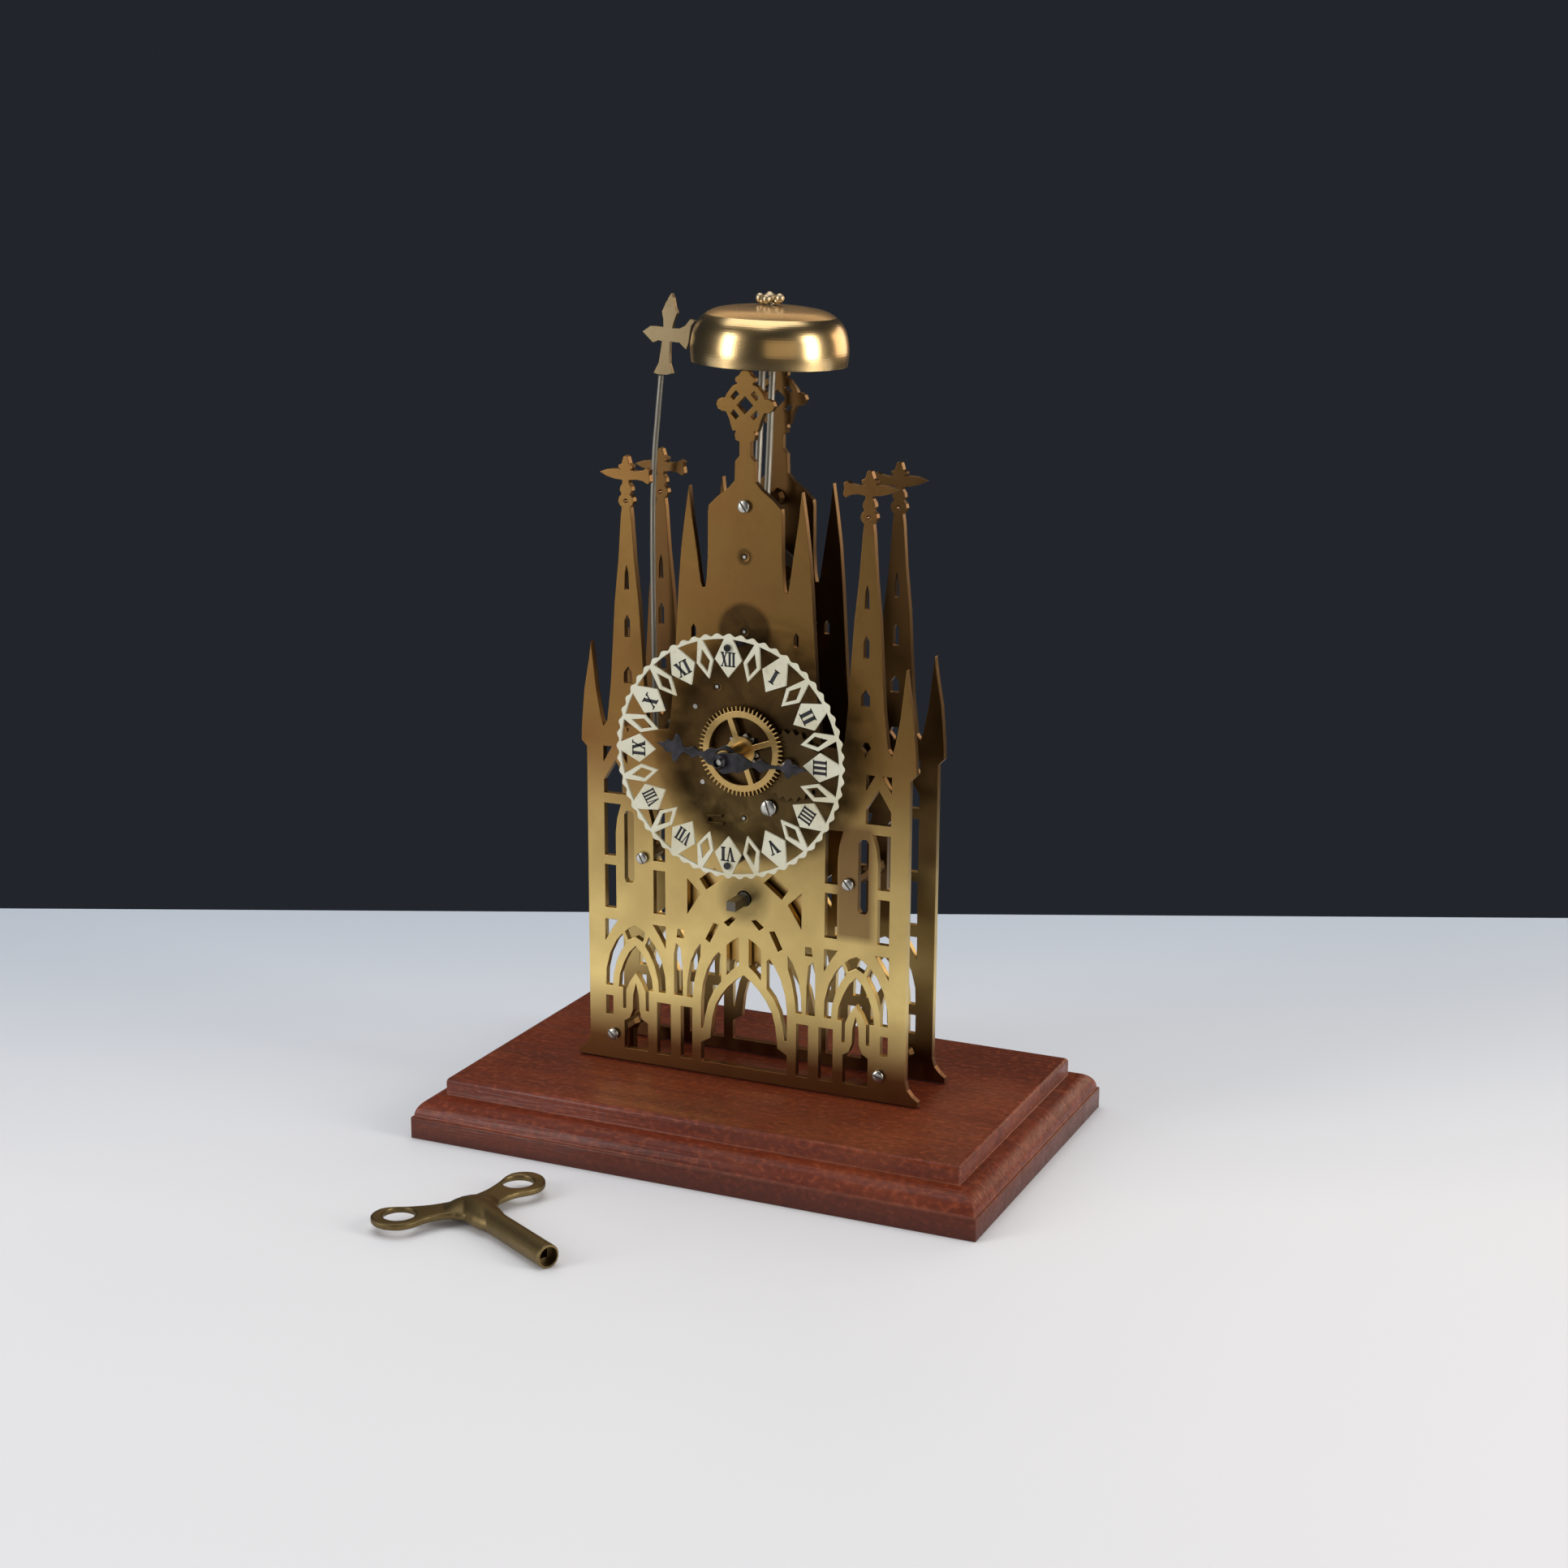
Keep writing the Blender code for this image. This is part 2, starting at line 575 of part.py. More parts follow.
def boolean(item, tool, operation):
    """Cuts a piece with a tool, or joins the tool to it."""
    if tool.name not in CUTTERS.objects:
        CUTTERS.objects.link(tool)
    tool.hide_render = True
    tool.display_type = "WIRE"
    change = item.modifiers.new(operation.lower(), "BOOLEAN")
    change.operation = operation
    change.solver = "EXACT"
    change.object = tool
    return item


def rod_tool(name, radius, start, end, sides=12):
    """A round tool between two points."""
    data = bpy.data.meshes.new(name)
    solid = bmesh.new()
    reach = Vector(end) - Vector(start)
    bmesh.ops.create_cone(
        solid, cap_ends=True, segments=sides, radius1=radius, radius2=radius, depth=reach.length
    )
    solid.to_mesh(data)
    solid.free()
    item = bpy.data.objects.new(name, data)
    item.location = (Vector(start) + Vector(end)) / 2
    item.rotation_euler = reach.to_track_quat("Z", "Y").to_euler()
    return rounded(item)


def block(name, size, middle):
    """A rectangular block."""
    data = bpy.data.meshes.new(name)
    solid = bmesh.new()
    bmesh.ops.create_cube(solid, size=1.0, matrix=Matrix.Diagonal((*size, 1.0)))
    solid.to_mesh(data)
    solid.free()
    item = bpy.data.objects.new(name, data)
    item.location = middle
    return item


def mesh_pair(first, second, first_teeth, second_teeth):
    """Pitch radii, module and starting angles of two wheels in mesh."""
    reach = math.dist(first, second)
    aim = math.atan2(second[1] - first[1], second[0] - first[0])
    total = first_teeth + second_teeth
    return {
        "module": 2 * reach / total,
        "radii": (reach * first_teeth / total, reach * second_teeth / total),
        "angles": (aim, aim + math.pi + math.pi / second_teeth),
    }


def toothed(centre, teeth, pitch_radius, module, angle, form):
    """A wheel's outline: straight flanks from root to tip, with pointed or flat tips."""
    add_share, dedendum_share, tip_share, root_share = form
    step = TURN / teeth
    tip = pitch_radius + add_share * module
    root = pitch_radius - dedendum_share * module
    points = []
    for tooth in range(teeth):
        middle = angle + tooth * step
        marks = [(root, -root_share), (tip, -tip_share), (tip, tip_share), (root, root_share)]
        if root_share == VALLEY_SHARE:
            marks.pop()
        if tip_share == 0:
            marks.pop()
        for radius, share in marks:
            points.append(polar(centre, radius, middle + share * step))
    return points


def crossings(centre, count, inner, outer, angle=0):
    """The openings between a wheel's spokes."""
    openings = []
    for number in range(count):
        start = angle + TURN * number / count
        points = []
        for radius, steps, order in ((inner, 1, -1), (outer, 3, 1)):
            slip = math.asin(SPOKE_WIDTH / 2 / radius)
            first = start + slip
            sweep = TURN / count - 2 * slip
            marks = [first + sweep * mark / steps for mark in range(steps + 1)]
            for turn in marks[::order]:
                points.append(polar(centre, radius, turn))
        openings.append(points)
    return openings


def ribbon(path, widths):
    """A strip's outline along a path, from its half widths."""
    left = []
    right = []
    for number, point in enumerate(path):
        before = path[max(number - 1, 0)]
        after = path[min(number + 1, len(path) - 1)]
        run = math.dist(before, after)
        across = (-(after[1] - before[1]) / run, (after[0] - before[0]) / run)
        half = widths[number]
        left.append((point[0] + across[0] * half, point[1] + across[1] * half))
        right.append((point[0] - across[0] * half, point[1] - across[1] * half))
    return left + right[::-1]


GREAT_MESH = mesh_pair(BARREL, SECOND, GREAT_TEETH, SECOND_PINION_LEAVES)
SECOND_MESH = mesh_pair(SECOND, CENTRE, SECOND_TEETH, CENTRE_PINION_LEAVES)
CENTRE_MESH = mesh_pair(CENTRE, THIRD, CENTRE_TEETH, THIRD_PINION_LEAVES)
THIRD_MESH = mesh_pair(THIRD, ESCAPE, THIRD_TEETH, ESCAPE_PINION_LEAVES)
CANNON_MESH = mesh_pair(CENTRE, MINUTE, CANNON_TEETH, MINUTE_TEETH)
HOUR_MESH = mesh_pair(CENTRE, MINUTE, HOUR_TEETH, MINUTE_PINION_LEAVES)
GREAT_RADIUS = GREAT_MESH["radii"][0]
GREAT_REAR = GREAT_STATION + GREAT_THICKNESS
BARREL_HOLE = BARREL_JOURNAL_RADIUS + RUN
CENTRE_HOLE = ARBOR_RADIUS + RUN
PIVOT_HOLE = PIVOT_RADIUS + RUN
SCREW_HOLE = SCREW_RADIUS + SEAT
BOSS_SCREW_RADIUS = SCREW_RADIUS * BOSS_SCREW_SHARE
STUD_SPIGOT = STUD_RADIUS - SEAT
DIAL_FACE = FRONT_FACE - DIAL_SET_OUT
PILLAR_PLACES = (
    TOP_PILLAR,
    mirrored([SIDE_PILLAR])[0],
    SIDE_PILLAR,
    mirrored([FOOT_PILLAR])[0],
    FOOT_PILLAR,
)
DIAL_FEET = (
    (CENTRE[0], CENTRE[1] + DIAL_RADIUS * DIAL_FOOT_SHARE),
    (CENTRE[0], CENTRE[1] - DIAL_RADIUS * DIAL_FOOT_SHARE),
)
TRAIN = (SECOND, THIRD, ESCAPE, HAMMER)


def top_face(solid):
    """The highest face, and of several as high the largest."""
    return max(solid.faces, key=lambda face: (round(face.calc_center_median().z / WELD), face.calc_area()))


def moulded_base():
    """The mahogany base: a plinth, a quarter round and a top slab, raised from one rectangle."""
    data = bpy.data.meshes.new("base")
    solid = bmesh.new()
    bmesh.ops.create_cube(
        solid,
        size=1.0,
        matrix=Matrix.Translation((0, 0, PLINTH_RISE / 2))
        @ Matrix.Diagonal((BASE_WIDTH, BASE_DEPTH, PLINTH_RISE, 1.0)),
    )
    rises = [(LEDGE, 0)]
    for step in range(OVOLO_STEPS):
        low = math.pi / 2 * step / OVOLO_STEPS
        high = math.pi / 2 * (step + 1) / OVOLO_STEPS
        inset = OVOLO_REACH * (math.cos(low) - math.cos(high))
        rises.append((inset, OVOLO_RISE * (math.sin(high) - math.sin(low))))
    rises.append((FILLET, 0))
    for inset, rise in rises:
        top = top_face(solid)
        bmesh.ops.inset_region(solid, faces=[top], thickness=inset, depth=rise, use_even_offset=True)
    top = top_face(solid)
    raised = bmesh.ops.extrude_face_region(solid, geom=[top])
    corners = [item for item in raised["geom"] if isinstance(item, bmesh.types.BMVert)]
    bmesh.ops.translate(solid, verts=corners, vec=(0, 0, TOP_RISE))
    bmesh.ops.delete(solid, geom=[top], context="FACES")
    solid.to_mesh(data)
    solid.free()
    item = bpy.data.objects.new("base", data)
    for place_x in (-FOOT_PILLAR[0], FOOT_PILLAR[0]):
        start = (place_x, PLATES_MIDDLE, BASE_HEIGHT - FOOT_STUD_DEPTH - SEAT)
        end = (place_x, PLATES_MIDDLE, BASE_HEIGHT + OVERRUN)
        boolean(item, rod_tool("stud_socket", FOOT_STUD_RADIUS + SEAT, start, end), "DIFFERENCE")
    return finish(item, "mahogany")


def facade_holes(round_holes):
    """All openings of a plate, the round ones given as centre and radius."""
    arch = [place(share) for share in ARCH_SHARES]
    openings = [arch + mirrored(arch[:-1])]
    windows = [[place(share) for share in window] for window in WINDOW_SHARES]
    arch_middle = SIDE_ARCH_SHARE * FACADE_SPAN
    for window in TWIN_WINDOW_SHARES:
        points = [place(share) for share in window]
        windows.append(points)
        windows.append(mirrored(points, arch_middle))
    windows.append(ring(place(SPIRE_EYE_SHARES), SPIRE_EYE_SHARE * FACADE_SPAN, 5))
    for window in windows:
        openings.append(window)
        openings.append(mirrored(window))
    openings.append(ring(place(FINIAL_EYE_SHARES), FINIAL_EYE_SHARE * FACADE_SPAN, 8))
    for centre, radius in round_holes:
        openings.append(ring(centre, radius, 8 if radius > CENTRE_HOLE else 6))
    return openings


def plate(name, front, round_holes):
    """One of the two fretted plates."""
    half = [place(share) for share in OUTLINE_SHARES]
    outline = half + mirrored(half[:-1])
    item = flat_curve(name, outline, facade_holes(round_holes), PLATE_THICKNESS, front)
    return finish(item, "plate_brass")


def pillar(name, centre):
    """A turned pillar, tapped at the front for its screw and riveted into the rear plate."""
    front = FRONT_INNER + SEAT
    rear = REAR_INNER - SEAT
    middle = (front + rear) / 2
    bore = SCREW_DEPTH - PLATE_THICKNESS + SEAT + SEAT
    profile = [
        (0, front + bore),
        (SCREW_HOLE, front + bore),
        (SCREW_HOLE, front),
        (PILLAR_RADIUS, front),
        (PILLAR_WAIST, front + PILLAR_COLLAR),
        (PILLAR_WAIST, middle - PILLAR_COLLAR),
        (PILLAR_RADIUS, middle),
        (PILLAR_WAIST, middle + PILLAR_COLLAR),
        (PILLAR_WAIST, rear - PILLAR_COLLAR),
        (PILLAR_RADIUS, rear),
        (SCREW_RADIUS, rear),
        (SCREW_RADIUS, REAR_FACE + PIVOT_STAND),
        (0, REAR_FACE + PIVOT_STAND),
    ]
    return finish(turned(name, profile, 8, centre), "plate_brass")


def foot_pillar(name, centre):
    """A pillar with a stud that holds it down in the base."""
    item = pillar(name, centre)
    start = (centre[0], PLATES_MIDDLE, BASE_HEIGHT - FOOT_STUD_DEPTH)
    end = (centre[0], PLATES_MIDDLE, centre[1])
    return boolean(item, rod_tool("foot_stud", FOOT_STUD_RADIUS, start, end, 12), "UNION")


def screw_profile(face, facing, radius, head_radius, head_rise, depth):
    """A cheese-head screw through a plate's outer face; facing is -1 at the front and 1 behind."""
    seat = face + facing * SEAT
    points = [
        (0, seat + facing * head_rise),
        (head_radius, seat + facing * head_rise),
        (head_radius, seat),
        (radius, seat),
        (radius, face - facing * depth),
        (0, face - facing * depth),
    ]
    return points if facing < 0 else points[::-1]


def cheese_screw(name, centre, radius, head_radius, depth):
    """A cheese-head screw in the front plate."""
    profile = screw_profile(FRONT_FACE, -1, radius, head_radius, SCREW_HEAD_RISE, depth)
    return finish(turned(name, profile, 8, centre), "steel")


def wheel(name, centre, outline, thickness, front, parent, bore, spokes=0, rim_root=0, angle=0):
    """A flat wheel with its bore and, where it has them, its crossings."""
    holes = [ring(centre, bore, 8)]
    if spokes:
        holes += crossings(centre, spokes, HUB_RADIUS, rim_root - RIM_WIDTH, angle)
    return finish(flat_curve(name, outline, holes, thickness, front, centre), "wheel_brass", parent)


def arbor(name, centre, sections, parent, pinion=None):
    """A turned arbor, with its pinion joined to it where it has one."""
    item = turned(name, steps_profile(sections), 8, centre)
    if pinion:
        outline, front, length = pinion
        boolean(item, as_mesh(flat_curve(name + "_leaves", outline, [], length, front, centre)), "UNION")
    return finish(item, "steel", parent)


def train_sections(mesh, leaves_rear, collet):
    """An arbor pivoted in both plates: a neck inside its pinion, then a collet for its wheel."""
    neck = min(ARBOR_RADIUS, pinion_root(mesh) * NECK_SHARE)
    return [
        (PIVOT_RADIUS, FRONT_FACE - PIVOT_STAND, FRONT_INNER + SEAT),
        (neck, FRONT_INNER + SEAT, leaves_rear + PINION_OVERLAP),
        (ARBOR_RADIUS, leaves_rear + PINION_OVERLAP, collet - COLLET_LENGTH),
        (COLLET_RADIUS, collet - COLLET_LENGTH, collet),
        (ARBOR_RADIUS, collet, REAR_INNER - SEAT),
        (PIVOT_RADIUS, REAR_INNER - SEAT, REAR_FACE + PIVOT_STAND),
    ]


def pinion_root(mesh, form=PINION_FORM_SHARES):
    """Where the leaves of the second wheel of a pair begin."""
    return mesh["radii"][1] - form[1] * mesh["module"]


def pinion_outline(centre, leaves, mesh, form=PINION_FORM_SHARES):
    """The leaves of the second wheel of a pair."""
    return toothed(centre, leaves, mesh["radii"][1], mesh["module"], mesh["angles"][1], form)


def wheel_outline(centre, teeth, mesh, form=WHEEL_FORM_SHARES):
    """The teeth of the first wheel of a pair."""
    return toothed(centre, teeth, mesh["radii"][0], mesh["module"], mesh["angles"][0], form)


def root_radius(mesh, form=WHEEL_FORM_SHARES):
    """Where the rim of the first wheel of a pair begins."""
    return mesh["radii"][0] - form[1] * mesh["module"]


def barrel_work():
    """The great wheel, its drum and cap, and the winding arbor with its ratchet."""
    turn = pivot("barrel_axis", BARREL)
    bore = BARREL_ARBOR_RADIUS + RUN
    drum_radius = GREAT_RADIUS * DRUM_SHARE
    drum_front = GREAT_STATION - SEAT
    web = GREAT_STATION + GREAT_THICKNESS / 2
    cap_rear = SECOND_STATION - DRUM_CLEARANCE
    drum_rear = cap_rear - CAP_THICKNESS
    profile = [
        (BARREL_ARBOR_RADIUS * 2, drum_front),
        (BARREL_ARBOR_RADIUS * 2, web),
        (drum_radius, web),
        (drum_radius, cap_rear),
        (drum_radius - DRUM_WALL, cap_rear),
        (drum_radius - DRUM_WALL, GREAT_REAR + DRUM_WALL),
        (bore, GREAT_REAR + DRUM_WALL),
        (bore, drum_front),
    ]
    teeth = wheel_outline(BARREL, GREAT_TEETH, GREAT_MESH)
    disc = flat_curve("barrel", teeth, [ring(BARREL, bore + RUN)], GREAT_THICKNESS, GREAT_STATION, BARREL)
    item = as_mesh(disc)
    boolean(item, turned("drum", profile, DRUM_SIDES, BARREL, closed=True), "UNION")
    finish(item, "wheel_brass", turn)
    cap = tube_profile(drum_radius - DRUM_WALL - SEAT, bore, drum_rear, cap_rear)
    finish(turned("barrel_cap", cap, DRUM_SIDES, BARREL, closed=True), "wheel_brass", turn)

    winding = pivot("winding_axis", BARREL)
    rear_end = REAR_FACE + SEAT + RATCHET_THICKNESS + SEAT
    item = turned(
        "barrel_arbor",
        steps_profile([
            (BARREL_JOURNAL_RADIUS, FRONT_FACE - SEAT, FRONT_INNER + SEAT),
            (BARREL_ARBOR_RADIUS, FRONT_INNER + SEAT, REAR_INNER - SEAT),
            (BARREL_JOURNAL_RADIUS, REAR_INNER - SEAT, REAR_FACE),
        ]),
        10,
        BARREL,
    )
    half = WINDING_SQUARE / 2
    square = [(-half, -half), (half, -half), (half, half), (-half, half)]
    corners = [(BARREL[0] + x, BARREL[1] + z) for x, z in square]
    square_end = FRONT_FACE - WINDING_REACH
    tool = flat_curve("square", corners, [], FRONT_INNER - square_end, square_end, BARREL)
    boolean(item, as_mesh(tool), "UNION")
    tool = flat_curve("rear_square", corners, [], rear_end - REAR_INNER, REAR_INNER, BARREL)
    boolean(item, as_mesh(tool), "UNION")
    finish(item, "steel", winding)

    outline = []
    step = TURN / RATCHET_TEETH
    for tooth in range(RATCHET_TEETH):
        for radius, share in ((RATCHET_RADIUS, 0), (RATCHET_RADIUS - RATCHET_DEPTH, RATCHET_LEAN_SHARE)):
            outline.append(polar(BARREL, radius, CLICK_NOSE_ANGLE + (tooth + share) * step))
    wide = half + SEAT
    hole = [(BARREL[0] + x / half * wide, BARREL[1] + z / half * wide) for x, z in square]
    ratchet = flat_curve("ratchet_wheel", outline, [hole], RATCHET_THICKNESS, REAR_FACE + SEAT, BARREL)
    finish(ratchet, "steel", winding)


def click_work():
    """The click on the rear plate, its screw and its blade spring."""
    turn = pivot("click_axis", CLICK)
    reach = RATCHET_RADIUS + CLICK_CLEARANCE
    nose = polar(BARREL, reach, CLICK_NOSE_ANGLE)
    run = math.dist(CLICK, nose)
    along = ((nose[0] - CLICK[0]) / run, (nose[1] - CLICK[1]) / run)
    across = (along[1], -along[0])
    front = REAR_FACE + SEAT

    def spot(forward_share, side):
        return (
            CLICK[0] + along[0] * run * forward_share + across[0] * side,
            CLICK[1] + along[1] * run * forward_share + across[1] * side,
        )

    back = CLICK_HEAD_RADIUS
    outline = [spot(along_share, back * side_share) for along_share, side_share in CLICK_SHARES]
    outline.append(nose)
    outline += [spot(along_share, back * side_share) for along_share, side_share in CLICK_UNDER_SHARES]
    item = flat_curve("click", outline, [ring(CLICK, SCREW_HOLE)], RATCHET_THICKNESS, front, CLICK)
    finish(item, "steel", turn)
    head = front + RATCHET_THICKNESS
    depth = head - REAR_FACE + PLATE_THICKNESS
    profile = screw_profile(head, 1, SCREW_RADIUS, SCREW_HEAD_RADIUS, SCREW_HEAD_RISE, depth)
    finish(turned("click_screw", profile, 10, CLICK), "steel")

    tip = spot(CLICK_PRESS_SHARE, back + SEAT + STRIP_THICKNESS)
    bend = ((CLICK_SPRING[0] * 2 + tip[0]) / 3, (CLICK_SPRING[1] + tip[1]) / 2)
    share = CLICK_HEAD_RADIUS / 2 / math.dist(CLICK_SPRING, bend)
    profile = screw_profile(REAR_FACE, 1, SCREW_RADIUS, CLICK_HEAD_RADIUS, RATCHET_THICKNESS, PLATE_THICKNESS)
    item = turned("click_spring", profile, 12, CLICK_SPRING)
    start = (
        CLICK_SPRING[0] + (bend[0] - CLICK_SPRING[0]) * share,
        CLICK_SPRING[1] + (bend[1] - CLICK_SPRING[1]) * share,
    )
    blade = ribbon([start, bend, tip], [STRIP_THICKNESS] * 3)
    boolean(item, as_mesh(flat_curve("click_blade", blade, [], RATCHET_THICKNESS / 2, front)), "UNION")
    finish(item, "steel")


def going_train():
    """The second, centre, third and escape wheels with their arbors."""
    second = pivot("second_axis", SECOND)
    wheel(
        "second_wheel", SECOND, wheel_outline(SECOND, SECOND_TEETH, SECOND_MESH), WHEEL_THICKNESS,
        SECOND_STATION, second, ARBOR_RADIUS + SEAT, 4, root_radius(SECOND_MESH), math.pi / 4,
    )
    collet = SECOND_STATION - SEAT
    leaves = (
        pinion_outline(SECOND, SECOND_PINION_LEAVES, GREAT_MESH),
        GREAT_STATION - PINION_OVERLAP / 2,
        GREAT_THICKNESS + PINION_OVERLAP,
    )
    sections = train_sections(GREAT_MESH, leaves[1] + leaves[2], collet)
    arbor("second_arbor", SECOND, sections, second, leaves)

    centre = pivot("centre_axis", CENTRE)
    wheel(
        "centre_wheel", CENTRE, wheel_outline(CENTRE, CENTRE_TEETH, CENTRE_MESH), WHEEL_THICKNESS,
        CENTRE_STATION, centre, ARBOR_RADIUS + SEAT, 4, root_radius(CENTRE_MESH), math.pi / 4,
    )
    collet = CENTRE_STATION + WHEEL_THICKNESS + SEAT
    tip = FRONT_FACE - MINUTE_HAND_SET_OUT - HAND_NUT_LENGTH
    sections = [
        (CENTRE_FRONT_RADIUS, tip, FRONT_FACE - SEAT),
        (ARBOR_RADIUS, FRONT_FACE - SEAT, collet),
        (COLLET_RADIUS, collet, collet + COLLET_LENGTH),
        (ARBOR_RADIUS, collet + COLLET_LENGTH, REAR_INNER - SEAT),
        (PIVOT_RADIUS, REAR_INNER - SEAT, REAR_FACE + PIVOT_STAND),
    ]
    leaves = (
        pinion_outline(CENTRE, CENTRE_PINION_LEAVES, SECOND_MESH),
        SECOND_STATION - PINION_OVERLAP / 2,
        WHEEL_THICKNESS + PINION_OVERLAP,
    )
    arbor("centre_arbor", CENTRE, sections, centre, leaves)
    cam = []
    for step in range(CAM_STEPS):
        share = step / CAM_STEPS
        cam.append(polar(CENTRE, CAM_RADIUS * (1 - CAM_DROP_SHARE * share), TURN * share))
    hole = ring(CENTRE, ARBOR_RADIUS + SEAT, 8)
    item = flat_curve("lifting_cam", cam, [hole], CAM_THICKNESS, TAIL_STATION, CENTRE)
    finish(item, "steel", centre)

    third = pivot("third_axis", THIRD)
    wheel(
        "third_wheel", THIRD, wheel_outline(THIRD, THIRD_TEETH, THIRD_MESH), WHEEL_THICKNESS,
        THIRD_STATION, third, ARBOR_RADIUS + SEAT, 4, root_radius(THIRD_MESH), math.pi / 4,
    )
    collet = THIRD_STATION - SEAT
    leaves = (
        pinion_outline(THIRD, THIRD_PINION_LEAVES, CENTRE_MESH),
        CENTRE_STATION - PINION_OVERLAP / 2,
        WHEEL_THICKNESS + PINION_OVERLAP,
    )
    sections = train_sections(CENTRE_MESH, leaves[1] + leaves[2], collet)
    arbor("third_arbor", THIRD, sections, third, leaves)

    escape = pivot("escape_axis", ESCAPE)
    outline = []
    step = TURN / ESCAPE_TEETH
    for tooth in range(ESCAPE_TEETH):
        for radius, share in (
            (ESCAPE_ROOT_RADIUS, -ESCAPE_LEAN_SHARE),
            (ESCAPE_TIP_RADIUS, ESCAPE_LEAN_SHARE),
            (ESCAPE_ROOT_RADIUS, ESCAPE_LEAN_SHARE / 2),
        ):
            outline.append(polar(ESCAPE, radius, math.pi / 2 - (tooth + share) * step))
    wheel(
        "escape_wheel", ESCAPE, outline, ESCAPE_THICKNESS, ESCAPE_STATION, escape, ARBOR_RADIUS + SEAT,
        4, ESCAPE_ROOT_RADIUS + SPOKE_WIDTH / 2, math.pi / 4,
    )
    collet = ESCAPE_STATION - SEAT
    leaves = (
        pinion_outline(ESCAPE, ESCAPE_PINION_LEAVES, THIRD_MESH),
        THIRD_STATION - PINION_OVERLAP / 2,
        WHEEL_THICKNESS + PINION_OVERLAP,
    )
    sections = train_sections(THIRD_MESH, leaves[1] + leaves[2], collet)
    arbor("escape_arbor", ESCAPE, sections, escape, leaves)


def pallet_work():
    """The anchor on its arbor, and the crutch behind the rear plate."""
    turn = pivot("pallet_axis", PALLET)
    reach = math.dist(PALLET, ESCAPE)
    tip_radius = ESCAPE_TIP_RADIUS + PALLET_CLEARANCE
    half = math.acos(ESCAPE_TIP_RADIUS / reach)

    def spot(radius, angle):
        return polar(ESCAPE, radius, math.pi / 2 - angle)

    thick = COLLET_RADIUS
    right = [spot(reach + thick * out, half * turn_share) for out, turn_share in ANCHOR_TOP_SHARES]
    right += [spot(tip_radius + thick * out, half * turn_share) for out, turn_share in ANCHOR_ARM_SHARES]
    right.append(spot(reach - thick * ANCHOR_CROTCH_SHARE, 0))
    left = [(2 * ESCAPE[0] - x, z) for x, z in right[1:-1]]
    anchor_front = ESCAPE_STATION + ESCAPE_THICKNESS / 2 - PALLET_THICKNESS / 2
    bore = ARBOR_RADIUS + SEAT
    hole = ring(PALLET, bore, 8)
    item = flat_curve("pallets", right + left[::-1], [hole], PALLET_THICKNESS, anchor_front, PALLET)
    finish(item, "steel", turn)
    crutch_front = REAR_FACE + CRUTCH_SET_BACK
    collet = anchor_front - SEAT
    sections = [
        (PIVOT_RADIUS, FRONT_FACE - PIVOT_STAND, FRONT_INNER + SEAT),
        (ARBOR_RADIUS, FRONT_INNER + SEAT, collet - COLLET_LENGTH),
        (COLLET_RADIUS, collet - COLLET_LENGTH, collet),
        (ARBOR_RADIUS, collet, crutch_front + CRUTCH_THICKNESS + PIVOT_STAND),
    ]
    arbor("pallet_arbor", PALLET, sections, turn)

    foot = (PALLET[0], PALLET[1] - CRUTCH_LENGTH)
    fork = PENDULUM_ROD_RADIUS + SEAT + PRONG_RADIUS
    bar = PRONG_RADIUS + SEAT
    side = foot[0] + fork + bar
    outline = [
        (side, foot[1] - bar),
        (side, foot[1] + bar),
        (foot[0] + bar, foot[1] + bar + bar),
        (PALLET[0] + bar, PALLET[1] - COLLET_RADIUS),
        (PALLET[0] + COLLET_RADIUS, PALLET[1] - ARBOR_RADIUS),
        (PALLET[0] + COLLET_RADIUS, PALLET[1] + ARBOR_RADIUS),
        (PALLET[0] + ARBOR_RADIUS, PALLET[1] + COLLET_RADIUS),
    ]
    outline += mirrored(outline, PALLET[0])
    item = as_mesh(flat_curve("crutch", outline, [hole], CRUTCH_THICKNESS, crutch_front, PALLET))
    far = REAR_FACE + PENDULUM_SET_BACK + PENDULUM_ROD_RADIUS + PRONG_RADIUS
    for side in (-1, 1):
        prong_x = foot[0] + side * fork
        start = (prong_x, crutch_front + CRUTCH_THICKNESS / 2, foot[1])
        boolean(item, rod_tool("prong", PRONG_RADIUS, start, (prong_x, far, foot[1]), 8), "UNION")
    finish(item, "steel", turn)


